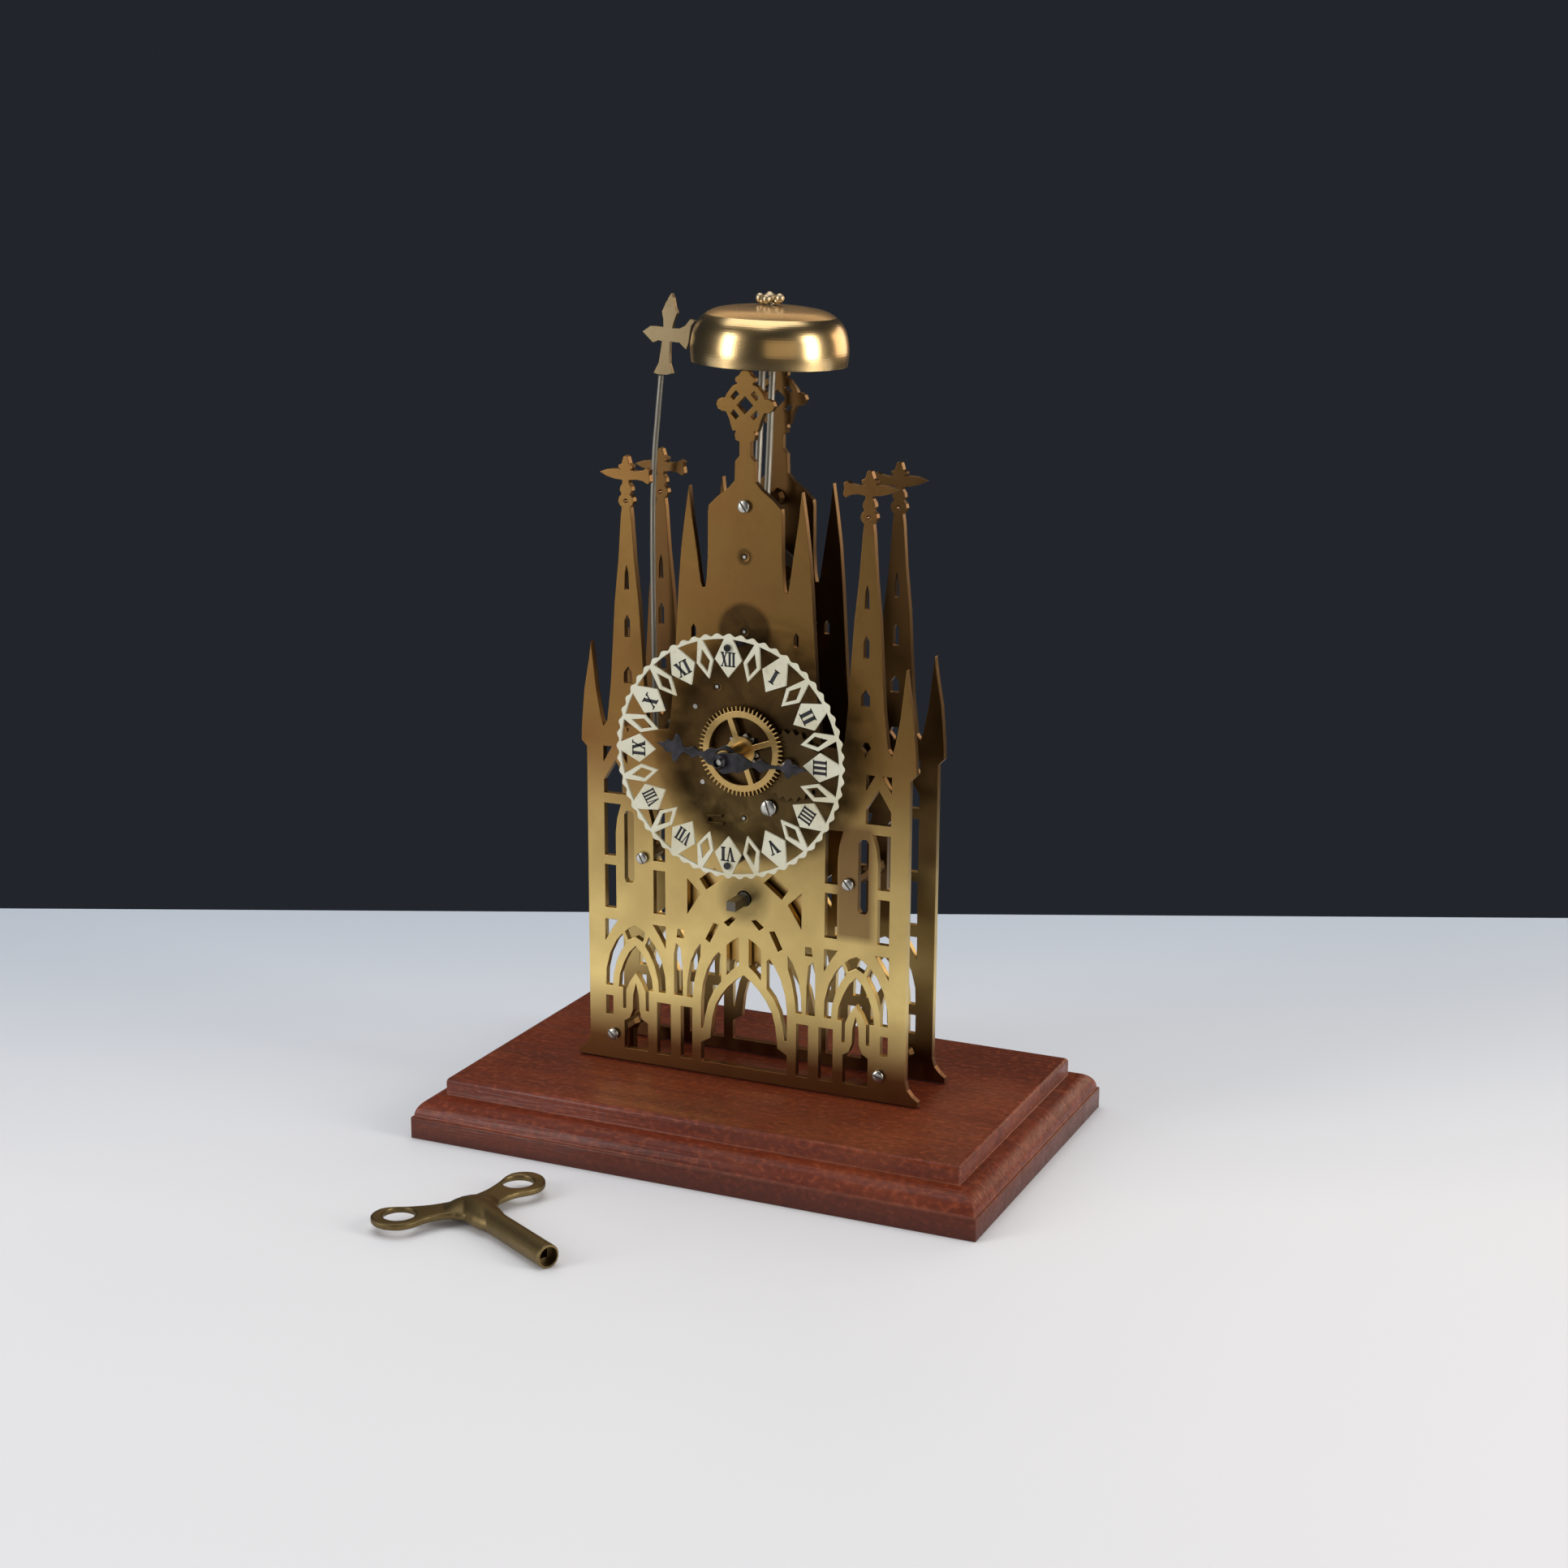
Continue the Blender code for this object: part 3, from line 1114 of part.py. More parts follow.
def pendulum_work():
    """The back cock, the suspension strip, and the pendulum that hangs from it."""
    depth = REAR_FACE + PENDULUM_SET_BACK
    foot_low = PALLET[1] + COLLET_RADIUS + SEAT + SCREW_RADIUS
    arm_rear = depth + STRIP_WIDTH / 2 + COCK_THICKNESS
    front = REAR_FACE + SEAT
    arm_top = foot_low + COCK_THICKNESS
    side_view = [
        (front, foot_low),
        (arm_rear, foot_low),
        (arm_rear, arm_top),
        (front + COCK_THICKNESS + SEAT, arm_top),
        (front + COCK_THICKNESS, arm_top + SEAT),
        (front + COCK_THICKNESS, foot_low + COCK_FOOT_RISE),
        (front, foot_low + COCK_FOOT_RISE),
    ]
    bracket = flat_curve("back_cock", side_view, [], COCK_WIDTH, 0)
    bracket.location = (0, 0, 0)
    bracket.rotation_euler = (math.pi / 2, 0, math.pi / 2)
    item = as_mesh(bracket)
    strip_top = arm_top + SEAT
    sway = (strip_top - PALLET[1]) * math.sin(PENDULUM_SWING)
    slit_side = STRIP_THICKNESS / 2 + sway + SEAT
    slit = block(
        "strip_slit",
        (slit_side * 2, STRIP_WIDTH + COCK_THICKNESS + SEAT, COCK_THICKNESS * 2),
        (PALLET[0], depth + COCK_THICKNESS / 2, foot_low + COCK_THICKNESS / 2),
    )
    boolean(item, slit, "DIFFERENCE")
    screw_place = (PALLET[0], foot_low + (COCK_THICKNESS + COCK_FOOT_RISE) / 2)
    hole = rod_tool(
        "cock_hole", SCREW_HOLE, (screw_place[0], front - OVERRUN, screw_place[1]),
        (screw_place[0], front + COCK_THICKNESS + OVERRUN, screw_place[1]),
    )
    boolean(item, hole, "DIFFERENCE")
    finish(item, "plate_brass")
    head = front + COCK_THICKNESS
    reach = head - REAR_FACE + PLATE_THICKNESS
    profile = screw_profile(head, 1, SCREW_RADIUS, SCREW_HEAD_RADIUS, SCREW_HEAD_RISE, reach)
    finish(turned("cock_screw", profile, 10, screw_place), "steel")

    swing = pivot("pendulum_axis", PALLET)
    strip_low = strip_top - STRIP_HEIGHT - COCK_THICKNESS
    strip = block(
        "suspension_spring",
        (STRIP_THICKNESS, STRIP_WIDTH, strip_top - strip_low),
        (PALLET[0], depth, (strip_top + strip_low) / 2),
    )
    pin_z = strip_top + SCREW_RADIUS - SEAT / 2
    start = (PALLET[0], depth - STRIP_WIDTH, pin_z)
    end = (PALLET[0], depth + STRIP_WIDTH, pin_z)
    boolean(strip, rod_tool("suspension_pin", SCREW_RADIUS, start, end), "UNION")
    finish(strip, "steel", swing)

    bob_z = PALLET[1] - PENDULUM_LENGTH
    hook_top = strip_low - SEAT
    rod_low = bob_z - BOB_RADIUS - SEAT - RATING_NUT_RISE - RATING_NUT_RADIUS
    chop = COLLET_RADIUS
    profile = [
        (0, -hook_top),
        (chop / 2, -hook_top),
        (chop / 2, -hook_top + chop),
        (PENDULUM_ROD_RADIUS, -hook_top + chop + chop / 2),
        (PENDULUM_ROD_RADIUS, -rod_low),
        (0, -rod_low),
    ]
    item = upright(turned("pendulum_rod", profile), (PALLET[0], depth, 0))
    finish(item, "steel", swing)
    bore = PENDULUM_ROD_RADIUS + SEAT
    half = BOB_THICKNESS / 2
    lens = [(0, depth - half)]
    for share, depth_share in LENS_SHARES:
        lens.append((BOB_RADIUS * share, depth - half * depth_share))
    lens.append((BOB_RADIUS, depth))
    for share, depth_share in LENS_SHARES[::-1]:
        lens.append((BOB_RADIUS * share, depth + half * depth_share))
    lens.append((0, depth + half))
    item = turned("pendulum_bob", lens, 16, (PALLET[0], bob_z))
    reach = BOB_RADIUS + OVERRUN
    low = (PALLET[0], depth, bob_z - reach)
    boolean(item, rod_tool("bob_bore", bore, low, (PALLET[0], depth, bob_z + reach), 10), "DIFFERENCE")
    finish(item, "bell_brass", swing)
    nut_top = bob_z - BOB_RADIUS - SEAT
    profile = tube_profile(RATING_NUT_RADIUS, bore, -nut_top, -nut_top + RATING_NUT_RISE)
    item = upright(turned("rating_nut", profile, 12, closed=True), (PALLET[0], depth, 0))
    finish(item, "wheel_brass", swing)


def hammer_work():
    """The hammer with its arm and tail, the stop and the blade spring."""
    turn = pivot("hammer_axis", HAMMER)
    head = [(STRIKE[0] + across * HEAD_RISE, STRIKE[1] + up * HEAD_RISE) for across, up in HEAD_SHARES]
    item = flat_curve("hammer_head", head, [], HAMMER_THICKNESS, HAMMER_STATION, HAMMER)
    finish(item, "plate_brass", turn)

    half = ARM_WIDTH / 2
    top = (STRIKE[0] + HEAD_FOOT_SHARES[0] * HEAD_RISE, STRIKE[1] + HEAD_FOOT_SHARES[1] * HEAD_RISE - SEAT)
    run = math.dist(HAMMER, top)
    along = ((top[0] - HAMMER[0]) / run, (top[1] - HAMMER[1]) / run)
    path = [top]
    for far, aside in ARM_SHARES:
        path.append((
            HAMMER[0] + (along[0] * far - along[1] * aside) * run,
            HAMMER[1] + (along[1] * far + along[0] * aside) * run,
        ))
    path.append((HAMMER[0], HAMMER[1] + COLLET_RADIUS))
    hub = ring(HAMMER, COLLET_RADIUS * ARM_HUB_SHARE)
    hole = ring(HAMMER, ARBOR_RADIUS + SEAT, 8)
    item = as_mesh(flat_curve("hammer_arm", hub, [hole], HAMMER_THICKNESS, HAMMER_STATION, HAMMER))
    strip = ribbon(path, [half] * len(path))
    tool = flat_curve("arm_strip", strip, [], HAMMER_THICKNESS, HAMMER_STATION, HAMMER)
    boolean(item, as_mesh(tool), "UNION")
    finish(item, "steel", turn)

    collet = HAMMER_STATION - SEAT
    sections = [
        (PIVOT_RADIUS, FRONT_FACE - PIVOT_STAND, FRONT_INNER + SEAT),
        (ARBOR_RADIUS, FRONT_INNER + SEAT, TAIL_STATION),
        (COLLET_RADIUS, TAIL_STATION, TAIL_STATION + CAM_THICKNESS),
        (ARBOR_RADIUS, TAIL_STATION + CAM_THICKNESS, collet - COLLET_LENGTH),
        (COLLET_RADIUS, collet - COLLET_LENGTH, collet),
        (ARBOR_RADIUS, collet, REAR_INNER - SEAT),
        (PIVOT_RADIUS, REAR_INNER - SEAT, REAR_FACE + PIVOT_STAND),
    ]
    tip = polar(CENTRE, CAM_RADIUS + TAIL_CLEARANCE, math.pi + TAIL_ANGLE)
    low = (STOP[0], STOP[1] + STUD_RADIUS + SEAT + half)
    tail = ribbon([HAMMER, low, (tip[0] - half, tip[1] - half)], [half, half, half / 2])
    thickness = CAM_THICKNESS * TAIL_THICKNESS_SHARE
    tail_front = TAIL_STATION + (CAM_THICKNESS - thickness) / 2
    item = turned("hammer_arbor", steps_profile(sections), 8, HAMMER)
    boolean(item, as_mesh(flat_curve("tail_strip", tail, [], thickness, tail_front, HAMMER)), "UNION")
    finish(item, "steel", turn)

    finish(front_stud("hammer_stop", STOP, STUD_RADIUS), "steel")
    item = front_stud("hammer_spring", SPRING, STUD_RADIUS * SPRING_STUD_SHARE)
    press_z = HAMMER[1] + half + TAIL_CLEARANCE + TAIL_CLEARANCE + STRIP_THICKNESS
    press = (HAMMER[0] + COLLET_RADIUS * SPRING_STUD_SHARE, press_z)
    bend = ((SPRING[0] + press[0] * 2) / 3, (SPRING[1] * 2 + press[1]) / 3)
    near = (SPRING[0] - STUD_RADIUS, SPRING[1] - STUD_RADIUS / 2)
    blade = ribbon([near, bend, press], [STRIP_THICKNESS] * 3)
    blade_front = TAIL_STATION + CAM_THICKNESS / 4
    tool = flat_curve("spring_blade", blade, [], CAM_THICKNESS / 2, blade_front, SPRING)
    boolean(item, as_mesh(tool), "UNION")
    finish(item, "steel")


def front_stud(name, centre, radius):
    """A stud riveted into the front plate, reaching in as far as the hammer's tail."""
    rear = TAIL_STATION + CAM_THICKNESS + SEAT
    profile = [
        (0, FRONT_FACE - PIVOT_STAND),
        (STUD_SPIGOT, FRONT_FACE - PIVOT_STAND),
        (STUD_SPIGOT, FRONT_INNER + SEAT),
        (radius, FRONT_INNER + SEAT),
        (radius, rear),
        (0, rear),
    ]
    return turned(name, profile, 10, centre)


def bell_work():
    """The bell on two leaning rods, with its bridge and its flower-shaped nut."""
    sink_z = TOP_PILLAR[1] + PILLAR_WAIST - ROD_SINK
    bridge_top = BELL_CROWN - BELL_WALL - SEAT - SEAT
    bridge_middle = bridge_top - BRIDGE_THICKNESS / 2
    slope = math.tan(ROD_LEAN)
    lean = (bridge_top - BRIDGE_THICKNESS - SEAT - sink_z) * slope
    bell_y = HAMMER_STATION + HAMMER_THICKNESS / 2
    feet = [bell_y - lean + side * ROD_SPACING / 2 for side in (-1, 1)]
    bridge = (BRIDGE_WIDTH, ROD_SPACING + BRIDGE_WIDTH, BRIDGE_THICKNESS)
    stand = block("bell_stand", bridge, (0, bell_y, bridge_middle))
    for foot in feet:
        end = (0, foot + slope * (bridge_middle - sink_z), bridge_middle)
        boolean(stand, rod_tool("bell_rod", ROD_RADIUS, (0, foot, sink_z), end, 10), "UNION")
    nut_base = BELL_CROWN + SEAT
    stud_top = (0, bell_y, nut_base + BELL_NUT_BORE - SEAT)
    boolean(stand, rod_tool("bell_stud", SCREW_RADIUS, (0, bell_y, bridge_middle), stud_top, 10), "UNION")
    finish(stand, "steel")
    post = pillar("pillar_top", TOP_PILLAR)
    drop = ROD_SINK + SEAT
    for foot in feet:
        start = (0, foot - slope * SEAT, sink_z - SEAT)
        end = (0, foot + slope * drop * 2, sink_z + drop * 2)
        boolean(post, rod_tool("rod_socket", ROD_RADIUS + SEAT, start, end, 10), "DIFFERENCE")

    hole = SCREW_RADIUS + SEAT
    points = [(hole, BELL_CROWN)]
    points += [(BELL_RADIUS * out, BELL_RIM + BELL_DEPTH * up) for out, up in BELL_SHARES]
    for out, up in BELL_SHARES[:0:-1]:
        points.append((BELL_RADIUS * out - BELL_WALL, BELL_RIM + (BELL_DEPTH - BELL_WALL) * up))
    points.append((hole, BELL_CROWN - BELL_WALL))
    profile = [(radius, -height) for radius, height in points]
    finish(upright(turned("bell", profile, BELL_SIDES, closed=True), (0, bell_y, 0)), "bell_brass")

    nut_top = nut_base + BELL_NUT_RISE
    bore_top = nut_base + BELL_NUT_BORE
    profile = [
        (0, -nut_top),
        (BELL_NUT_RADIUS, -nut_top),
        (BELL_NUT_RADIUS, -nut_base),
        (hole, -nut_base),
        (hole, -bore_top),
        (0, -bore_top),
    ]
    nut = upright(turned("bell_nut", profile, 10, closed=True), (0, bell_y, 0))
    half = [(across * FLOWER_SPAN / 2, nut_top + up * FLOWER_RISE) for across, up in FLOWER_SHARES]
    front = bell_y - FLOWER_THICKNESS / 2
    flower = flat_curve("nut_flower", half + mirrored(half[:-1]), [], FLOWER_THICKNESS, front)
    boolean(nut, as_mesh(flower), "UNION")
    finish(nut, "plate_brass")


def motion_work():
    """Cannon pinion, minute wheel and hour wheel, with the stud that the minute wheel turns on."""
    centre = bpy.data.objects["centre_axis"]
    cannon_front = FRONT_FACE - MOTION_CLEARANCE - MOTION_THICKNESS
    bore = CENTRE_FRONT_RADIUS + SEAT
    pipe_outer = bore + CANNON_WALL
    pipe_end = FRONT_FACE - MINUTE_HAND_SET_OUT + SEAT
    outline = wheel_outline(CENTRE, CANNON_TEETH, CANNON_MESH, PINION_FORM_SHARES)
    hole = ring(CENTRE, bore, 8)
    item = as_mesh(flat_curve("cannon_pinion", outline, [hole], MOTION_THICKNESS, cannon_front, CENTRE))
    sleeve = tube_profile(pipe_outer, bore, pipe_end, cannon_front + MOTION_THICKNESS / 2)
    boolean(item, turned("cannon_pipe", sleeve, 8, CENTRE, closed=True), "UNION")
    finish(item, "steel", centre)

    minute = pivot("minute_wheel_axis", MINUTE)
    outline = pinion_outline(MINUTE, MINUTE_TEETH, CANNON_MESH, WHEEL_FORM_SHARES)
    leaves = pinion_outline(MINUTE, MINUTE_PINION_LEAVES, HOUR_MESH, MINUTE_PINION_FORM_SHARES)
    hole = ring(MINUTE, STUD_RADIUS + SEAT, 8)
    item = as_mesh(flat_curve("minute_wheel", outline, [hole], MOTION_THICKNESS, cannon_front, MINUTE))
    pinion_front = cannon_front - MINUTE_PINION_LENGTH + MOTION_THICKNESS / 2
    pinion = flat_curve("minute_pinion", leaves, [hole], MINUTE_PINION_LENGTH, pinion_front, MINUTE)
    boolean(item, as_mesh(pinion), "UNION")
    finish(item, "wheel_brass", minute)
    head = pinion_front - SEAT
    profile = [
        (0, head - SCREW_HEAD_RISE / 2),
        (SCREW_HEAD_RADIUS, head - SCREW_HEAD_RISE / 2),
        (SCREW_HEAD_RADIUS, head),
        (STUD_RADIUS, head),
        (STUD_RADIUS, FRONT_FACE - SEAT),
        (STUD_SPIGOT, FRONT_FACE - SEAT),
        (STUD_SPIGOT, FRONT_INNER),
        (0, FRONT_INNER),
    ]
    finish(turned("minute_stud", profile, 10, MINUTE), "steel")

    hour = pivot("hour_axis", CENTRE)
    hour_front = cannon_front - MOTION_CLEARANCE - HOUR_WHEEL_THICKNESS
    hour_bore = pipe_outer + SEAT
    hour_outer = hour_bore + HOUR_WALL
    outline = wheel_outline(CENTRE, HOUR_TEETH, HOUR_MESH, MOTION_FORM_SHARES)
    holes = [ring(CENTRE, hour_bore, 12)]
    rim = root_radius(HOUR_MESH, MOTION_FORM_SHARES) - RIM_WIDTH
    holes += crossings(CENTRE, 4, HUB_RADIUS + HOUR_WALL, rim, HOUR_SPOKE_ANGLE)
    item = as_mesh(flat_curve("hour_wheel", outline, holes, HOUR_WHEEL_THICKNESS, hour_front, CENTRE))
    hour_end = FRONT_FACE - HOUR_HAND_SET_OUT - HAND_THICKNESS - SEAT
    sleeve = tube_profile(hour_outer, hour_bore, hour_end, hour_front + HOUR_WHEEL_THICKNESS / 2)
    boolean(item, turned("hour_pipe", sleeve, 12, CENTRE, closed=True), "UNION")
    finish(item, "wheel_brass", hour)
    return hour_outer


def hand(name, shares, length, angle, bore, set_out, parent):
    """A hand cut from sheet, pointing at an angle, with its eye on the arbor."""
    hub = bore + HOUR_WALL * 2
    upper = [(-hub * HAND_EYE_SHARE, hub * HAND_EYE_SHARE), (0, hub)]
    upper += [(along * length, across * length) for along, across in shares[1:-1]]
    points = upper + [(length, 0)] + [(x, -y) for x, y in upper[::-1]] + [(-hub, 0)]
    turn = Matrix.Rotation(angle, 2)
    spots = [turn @ Vector(point) + Vector(CENTRE) for point in points]
    outline = [(spot.x, spot.y) for spot in spots]
    front = FRONT_FACE - set_out - HAND_THICKNESS
    item = flat_curve(name, outline, [ring(CENTRE, bore)], HAND_THICKNESS, front, CENTRE)
    return finish(item, "blued_steel", parent)


def hands(hour_outer):
    """Both hands and the nut that holds them."""
    centre = bpy.data.objects["centre_axis"]
    hour = bpy.data.objects["hour_axis"]
    eye = hour_outer + SEAT
    hand("hour_hand", HOUR_HAND_SHARES, HOUR_HAND_LENGTH, HOUR_HAND_ANGLE, eye, HOUR_HAND_SET_OUT, hour)
    bore = CENTRE_FRONT_RADIUS + SEAT
    hand("minute_hand", MINUTE_HAND_SHARES, MINUTE_HAND_LENGTH, 0, bore, MINUTE_HAND_SET_OUT, centre)
    rear = FRONT_FACE - MINUTE_HAND_SET_OUT - HAND_THICKNESS - SEAT
    front = rear - HAND_NUT_LENGTH
    shoulder, straight = HAND_NUT_SHARES
    profile = [
        (bore, front),
        (HAND_NUT_RADIUS * shoulder, front),
        (HAND_NUT_RADIUS, rear - HAND_NUT_LENGTH * straight),
        (HAND_NUT_RADIUS, rear),
        (bore, rear),
    ]
    finish(turned("hand_nut", profile, 12, CENTRE, closed=True), "steel", centre)


def dial():
    """The pierced dial: a ring with twelve cartouches and twelve open lozenges."""
    inner_radius = DIAL_RADIUS - DIAL_RING_WIDTH

    def spot(out, across, angle):
        return (
            CENTRE[0] + out * math.sin(angle) + across * math.cos(angle),
            CENTRE[1] + out * math.cos(angle) - across * math.sin(angle),
        )

    inner = []
    windows = []
    for number in range(HOURS * 2):
        angle = TURN * number / HOURS / 2
        open_lozenge = number % 2 == 1
        shares = LOZENGE_SHARES if open_lozenge else CARTOUCHE_SHARES
        neck = DIAL_RADIUS * (LOZENGE_NECK_SHARE if open_lozenge else CARTOUCHE_NECK_SHARE)
        inner.append(spot(inner_radius, -neck, angle))
        inner += [spot(DIAL_RADIUS * out, DIAL_RADIUS * across, angle) for out, across in shares]
        inner.append(spot(inner_radius, neck, angle))
        if open_lozenge:
            shares = LOZENGE_WINDOW_SHARES
            windows.append([spot(DIAL_RADIUS * out, DIAL_RADIUS * across, angle) for out, across in shares])
    pin = DIAL_FOOT_RADIUS - SEAT
    holes = [inner, *windows, *[ring(centre, pin, 8) for centre in DIAL_FEET]]
    outline = ring(CENTRE, DIAL_RADIUS, MINUTE_MARKS)
    front = DIAL_FACE - DIAL_THICKNESS
    finish(flat_curve("dial_ring", outline, holes, DIAL_THICKNESS, front, CENTRE), "silvered")

    for name, centre in zip(("dial_foot_top", "dial_foot_bottom"), DIAL_FEET):
        sections = [
            (DIAL_FOOT_RADIUS, front - SEAT - PIVOT_RADIUS, front - SEAT),
            (pin - SEAT, front - SEAT, DIAL_FACE + SEAT),
            (DIAL_FOOT_RADIUS, DIAL_FACE + SEAT, FRONT_FACE - SEAT),
            (pin - SEAT, FRONT_FACE - SEAT, FRONT_INNER),
        ]
        finish(turned(name, steps_profile(sections), 8, centre), "blued_steel")


def key_wings():
    """The key's two wings with their eyes, flat in the plane of the table."""
    half = KEY_SPAN / 2
    right = [(across * half, along * KEY_REACH) for across, along in KEY_WING_SHARES]
    left = [(-x, y) for x, y in right[1:-1]]
    eye_inset, eye_along = KEY_EYE_SHARES
    eye_x = half - KEY_EYE_RADIUS * eye_inset
    eyes = [ring((side * eye_x, KEY_REACH * eye_along), KEY_EYE_RADIUS) for side in (-1, 1)]
    sheet = flat_curve("key_wings", right + left[::-1], eyes, KEY_WING_THICKNESS, 0)
    sheet.rotation_euler = (0, 0, 0)
    sheet.location = (0, 0, 0)
    return as_mesh(sheet)


def winding_key():
    """The winding key as it lies on the table, its square socket towards the front."""
    mouth = (-KEY_MOUTH_LEFT, BASE_FRONT - KEY_MOUTH_FORWARD, KEY_PIPE_RADIUS)
    axis = pivot("key_axis", (0, 0))
    axis.location = mouth
    profile = [(0, 0), (KEY_PIPE_RADIUS, 0), (KEY_PIPE_RADIUS, KEY_SOCKET_DEPTH)]
    profile += [(KEY_PIPE_RADIUS * out, KEY_PIPE_LENGTH * along) for out, along in KEY_PIPE_SHARES]
    profile.append((0, KEY_PIPE_LENGTH))
    item = turned("key", profile, 12)
    lay = Matrix.Translation(mouth) @ Matrix.Rotation(KEY_TURN, 4, "Z")
    pipe_turn = lay @ Matrix.Rotation(-math.pi / 2, 4, "Y")
    item.matrix_world = pipe_turn
    wings = key_wings()
    wings.matrix_world = lay @ Matrix.Rotation(-math.pi / 2, 4, "Z")
    boolean(item, wings, "UNION")
    square = WINDING_SQUARE + SEAT + SEAT
    socket = block("key_socket", (square, square, KEY_SOCKET_DEPTH * 2), (0, 0, 0))
    socket.matrix_world = pipe_turn
    boolean(item, socket, "DIFFERENCE")
    finish(item, "old_brass")
    item.parent = axis
    item.matrix_parent_inverse = axis.matrix_basis.inverted()


def plates():
    """Both plates with the holes of what they carry."""
    screws = [(centre, SCREW_HOLE) for centre in PILLAR_PLACES]
    pivots = [(centre, PIVOT_HOLE) for centre in TRAIN]
    front = screws + pivots + [
        (PALLET, PIVOT_HOLE),
        (CENTRE, CENTRE_HOLE),
        (BARREL, BARREL_HOLE),
        (MINUTE, STUD_SPIGOT + SEAT),
        (STOP, STUD_SPIGOT + SEAT),
        (SPRING, STUD_SPIGOT + SEAT),
        (BOSS, BOSS_SCREW_RADIUS + SEAT),
    ]
    front += [(centre, DIAL_FOOT_RADIUS - SEAT) for centre in DIAL_FEET]
    plate("front_plate", FRONT_FACE, front)
    foot_low = PALLET[1] + COLLET_RADIUS + SEAT + SCREW_RADIUS
    cock_z = foot_low + (COCK_THICKNESS + COCK_FOOT_RISE) / 2
    rear = screws + pivots + [
        (PALLET, ARBOR_RADIUS + RUN),
        (CENTRE, PIVOT_HOLE),
        (BARREL, BARREL_HOLE),
        (CLICK, SCREW_HOLE),
        (CLICK_SPRING, SCREW_HOLE),
    ]
    rear.append(((PALLET[0], cock_z), SCREW_HOLE))
    plate("rear_plate", REAR_INNER, rear)


moulded_base()
plates()
bell_work()
pillar("pillar_left", PILLAR_PLACES[1])
pillar("pillar_right", PILLAR_PLACES[2])
foot_pillar("pillar_foot_left", PILLAR_PLACES[3])
foot_pillar("pillar_foot_right", PILLAR_PLACES[4])
SCREW_NAMES = ("top", "left", "right", "foot_left", "foot_right")
for screw_number, screw_name in enumerate(SCREW_NAMES):
    cheese_screw(
        "front_screw_" + screw_name, PILLAR_PLACES[screw_number], SCREW_RADIUS, SCREW_HEAD_RADIUS, SCREW_DEPTH
    )
cheese_screw("lever_screw", BOSS, BOSS_SCREW_RADIUS, SCREW_HEAD_RADIUS * BOSS_SCREW_SHARE, PLATE_THICKNESS)
barrel_work()
click_work()
going_train()
pallet_work()
pendulum_work()
hammer_work()
hands(motion_work())
dial()
winding_key()
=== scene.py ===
"""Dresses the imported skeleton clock: finer plates, moulding, dial, bell, screws and key, and every material.

Metres, +Z up, the dial faces -Y. Places come from the frame's joints and boxes, and sizes are named here.
"""

import json
import math

import bmesh
import bpy
from mathutils import Matrix, Vector


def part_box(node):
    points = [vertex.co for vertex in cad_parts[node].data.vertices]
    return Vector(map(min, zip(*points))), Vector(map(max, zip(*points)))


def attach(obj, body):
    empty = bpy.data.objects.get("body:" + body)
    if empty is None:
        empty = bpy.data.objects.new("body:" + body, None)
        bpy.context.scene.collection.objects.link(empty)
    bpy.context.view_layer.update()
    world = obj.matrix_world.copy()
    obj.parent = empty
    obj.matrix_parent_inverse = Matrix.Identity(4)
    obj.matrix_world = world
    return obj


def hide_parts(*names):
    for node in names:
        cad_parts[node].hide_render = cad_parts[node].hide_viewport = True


MM = 0.001
TURN = 2 * math.pi
WELD = 0.00001

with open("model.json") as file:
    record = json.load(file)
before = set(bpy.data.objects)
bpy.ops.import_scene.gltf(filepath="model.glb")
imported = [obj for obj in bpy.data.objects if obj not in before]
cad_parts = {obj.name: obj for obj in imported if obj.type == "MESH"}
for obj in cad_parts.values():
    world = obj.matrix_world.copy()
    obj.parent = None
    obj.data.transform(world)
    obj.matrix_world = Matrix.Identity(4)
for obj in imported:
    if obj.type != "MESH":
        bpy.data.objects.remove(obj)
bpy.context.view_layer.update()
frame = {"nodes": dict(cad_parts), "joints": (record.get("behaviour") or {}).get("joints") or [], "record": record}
JOINTS = {joint["name"]: Vector(joint["pos_m"]) for joint in frame["joints"] if "pos_m" in joint}
SLOTS = {entry["node"]: entry["material_slot"] for entry in frame["record"]["subparts"]}
CENTRE = JOINTS["centre_turn"]
BARREL = JOINTS["barrel_turn"]

# Camera and picture
PICTURE_SIDE = 1932
FOCAL_PIXELS = 3171.4
SENSOR = 36
CAMERA_PLACE = (0.3407, -0.7461, 0.32424)
CAMERA_AZIMUTH = math.radians(24.051)
CAMERA_RISE = math.radians(14.085)
CAMERA_ROLL = math.radians(0.352)
TABLE_NEAR = 0.43
TABLE_FAR = 0.243
TABLE_HALF_WIDTH = 1.6

# Edges: how far they are softened, what share of an edge that may take, and the crease angles in degrees
PLATE_EASE = 0.12 * MM
SMALL_EASE = 0.10 * MM
WOOD_EASE = 0.7 * MM
EASE_SHARE = 0.3
ROUND_CREASE = 35
SHEET_CREASE = 12
WOOD_CREASE = 40
ROUND_NODE_CREASE = 50
FLAT_NODE_CREASE = 25


def pane(left, right, low, high):
    """The corners of an upright rectangle."""
    return (left, low), (right, low), (right, high), (left, high)


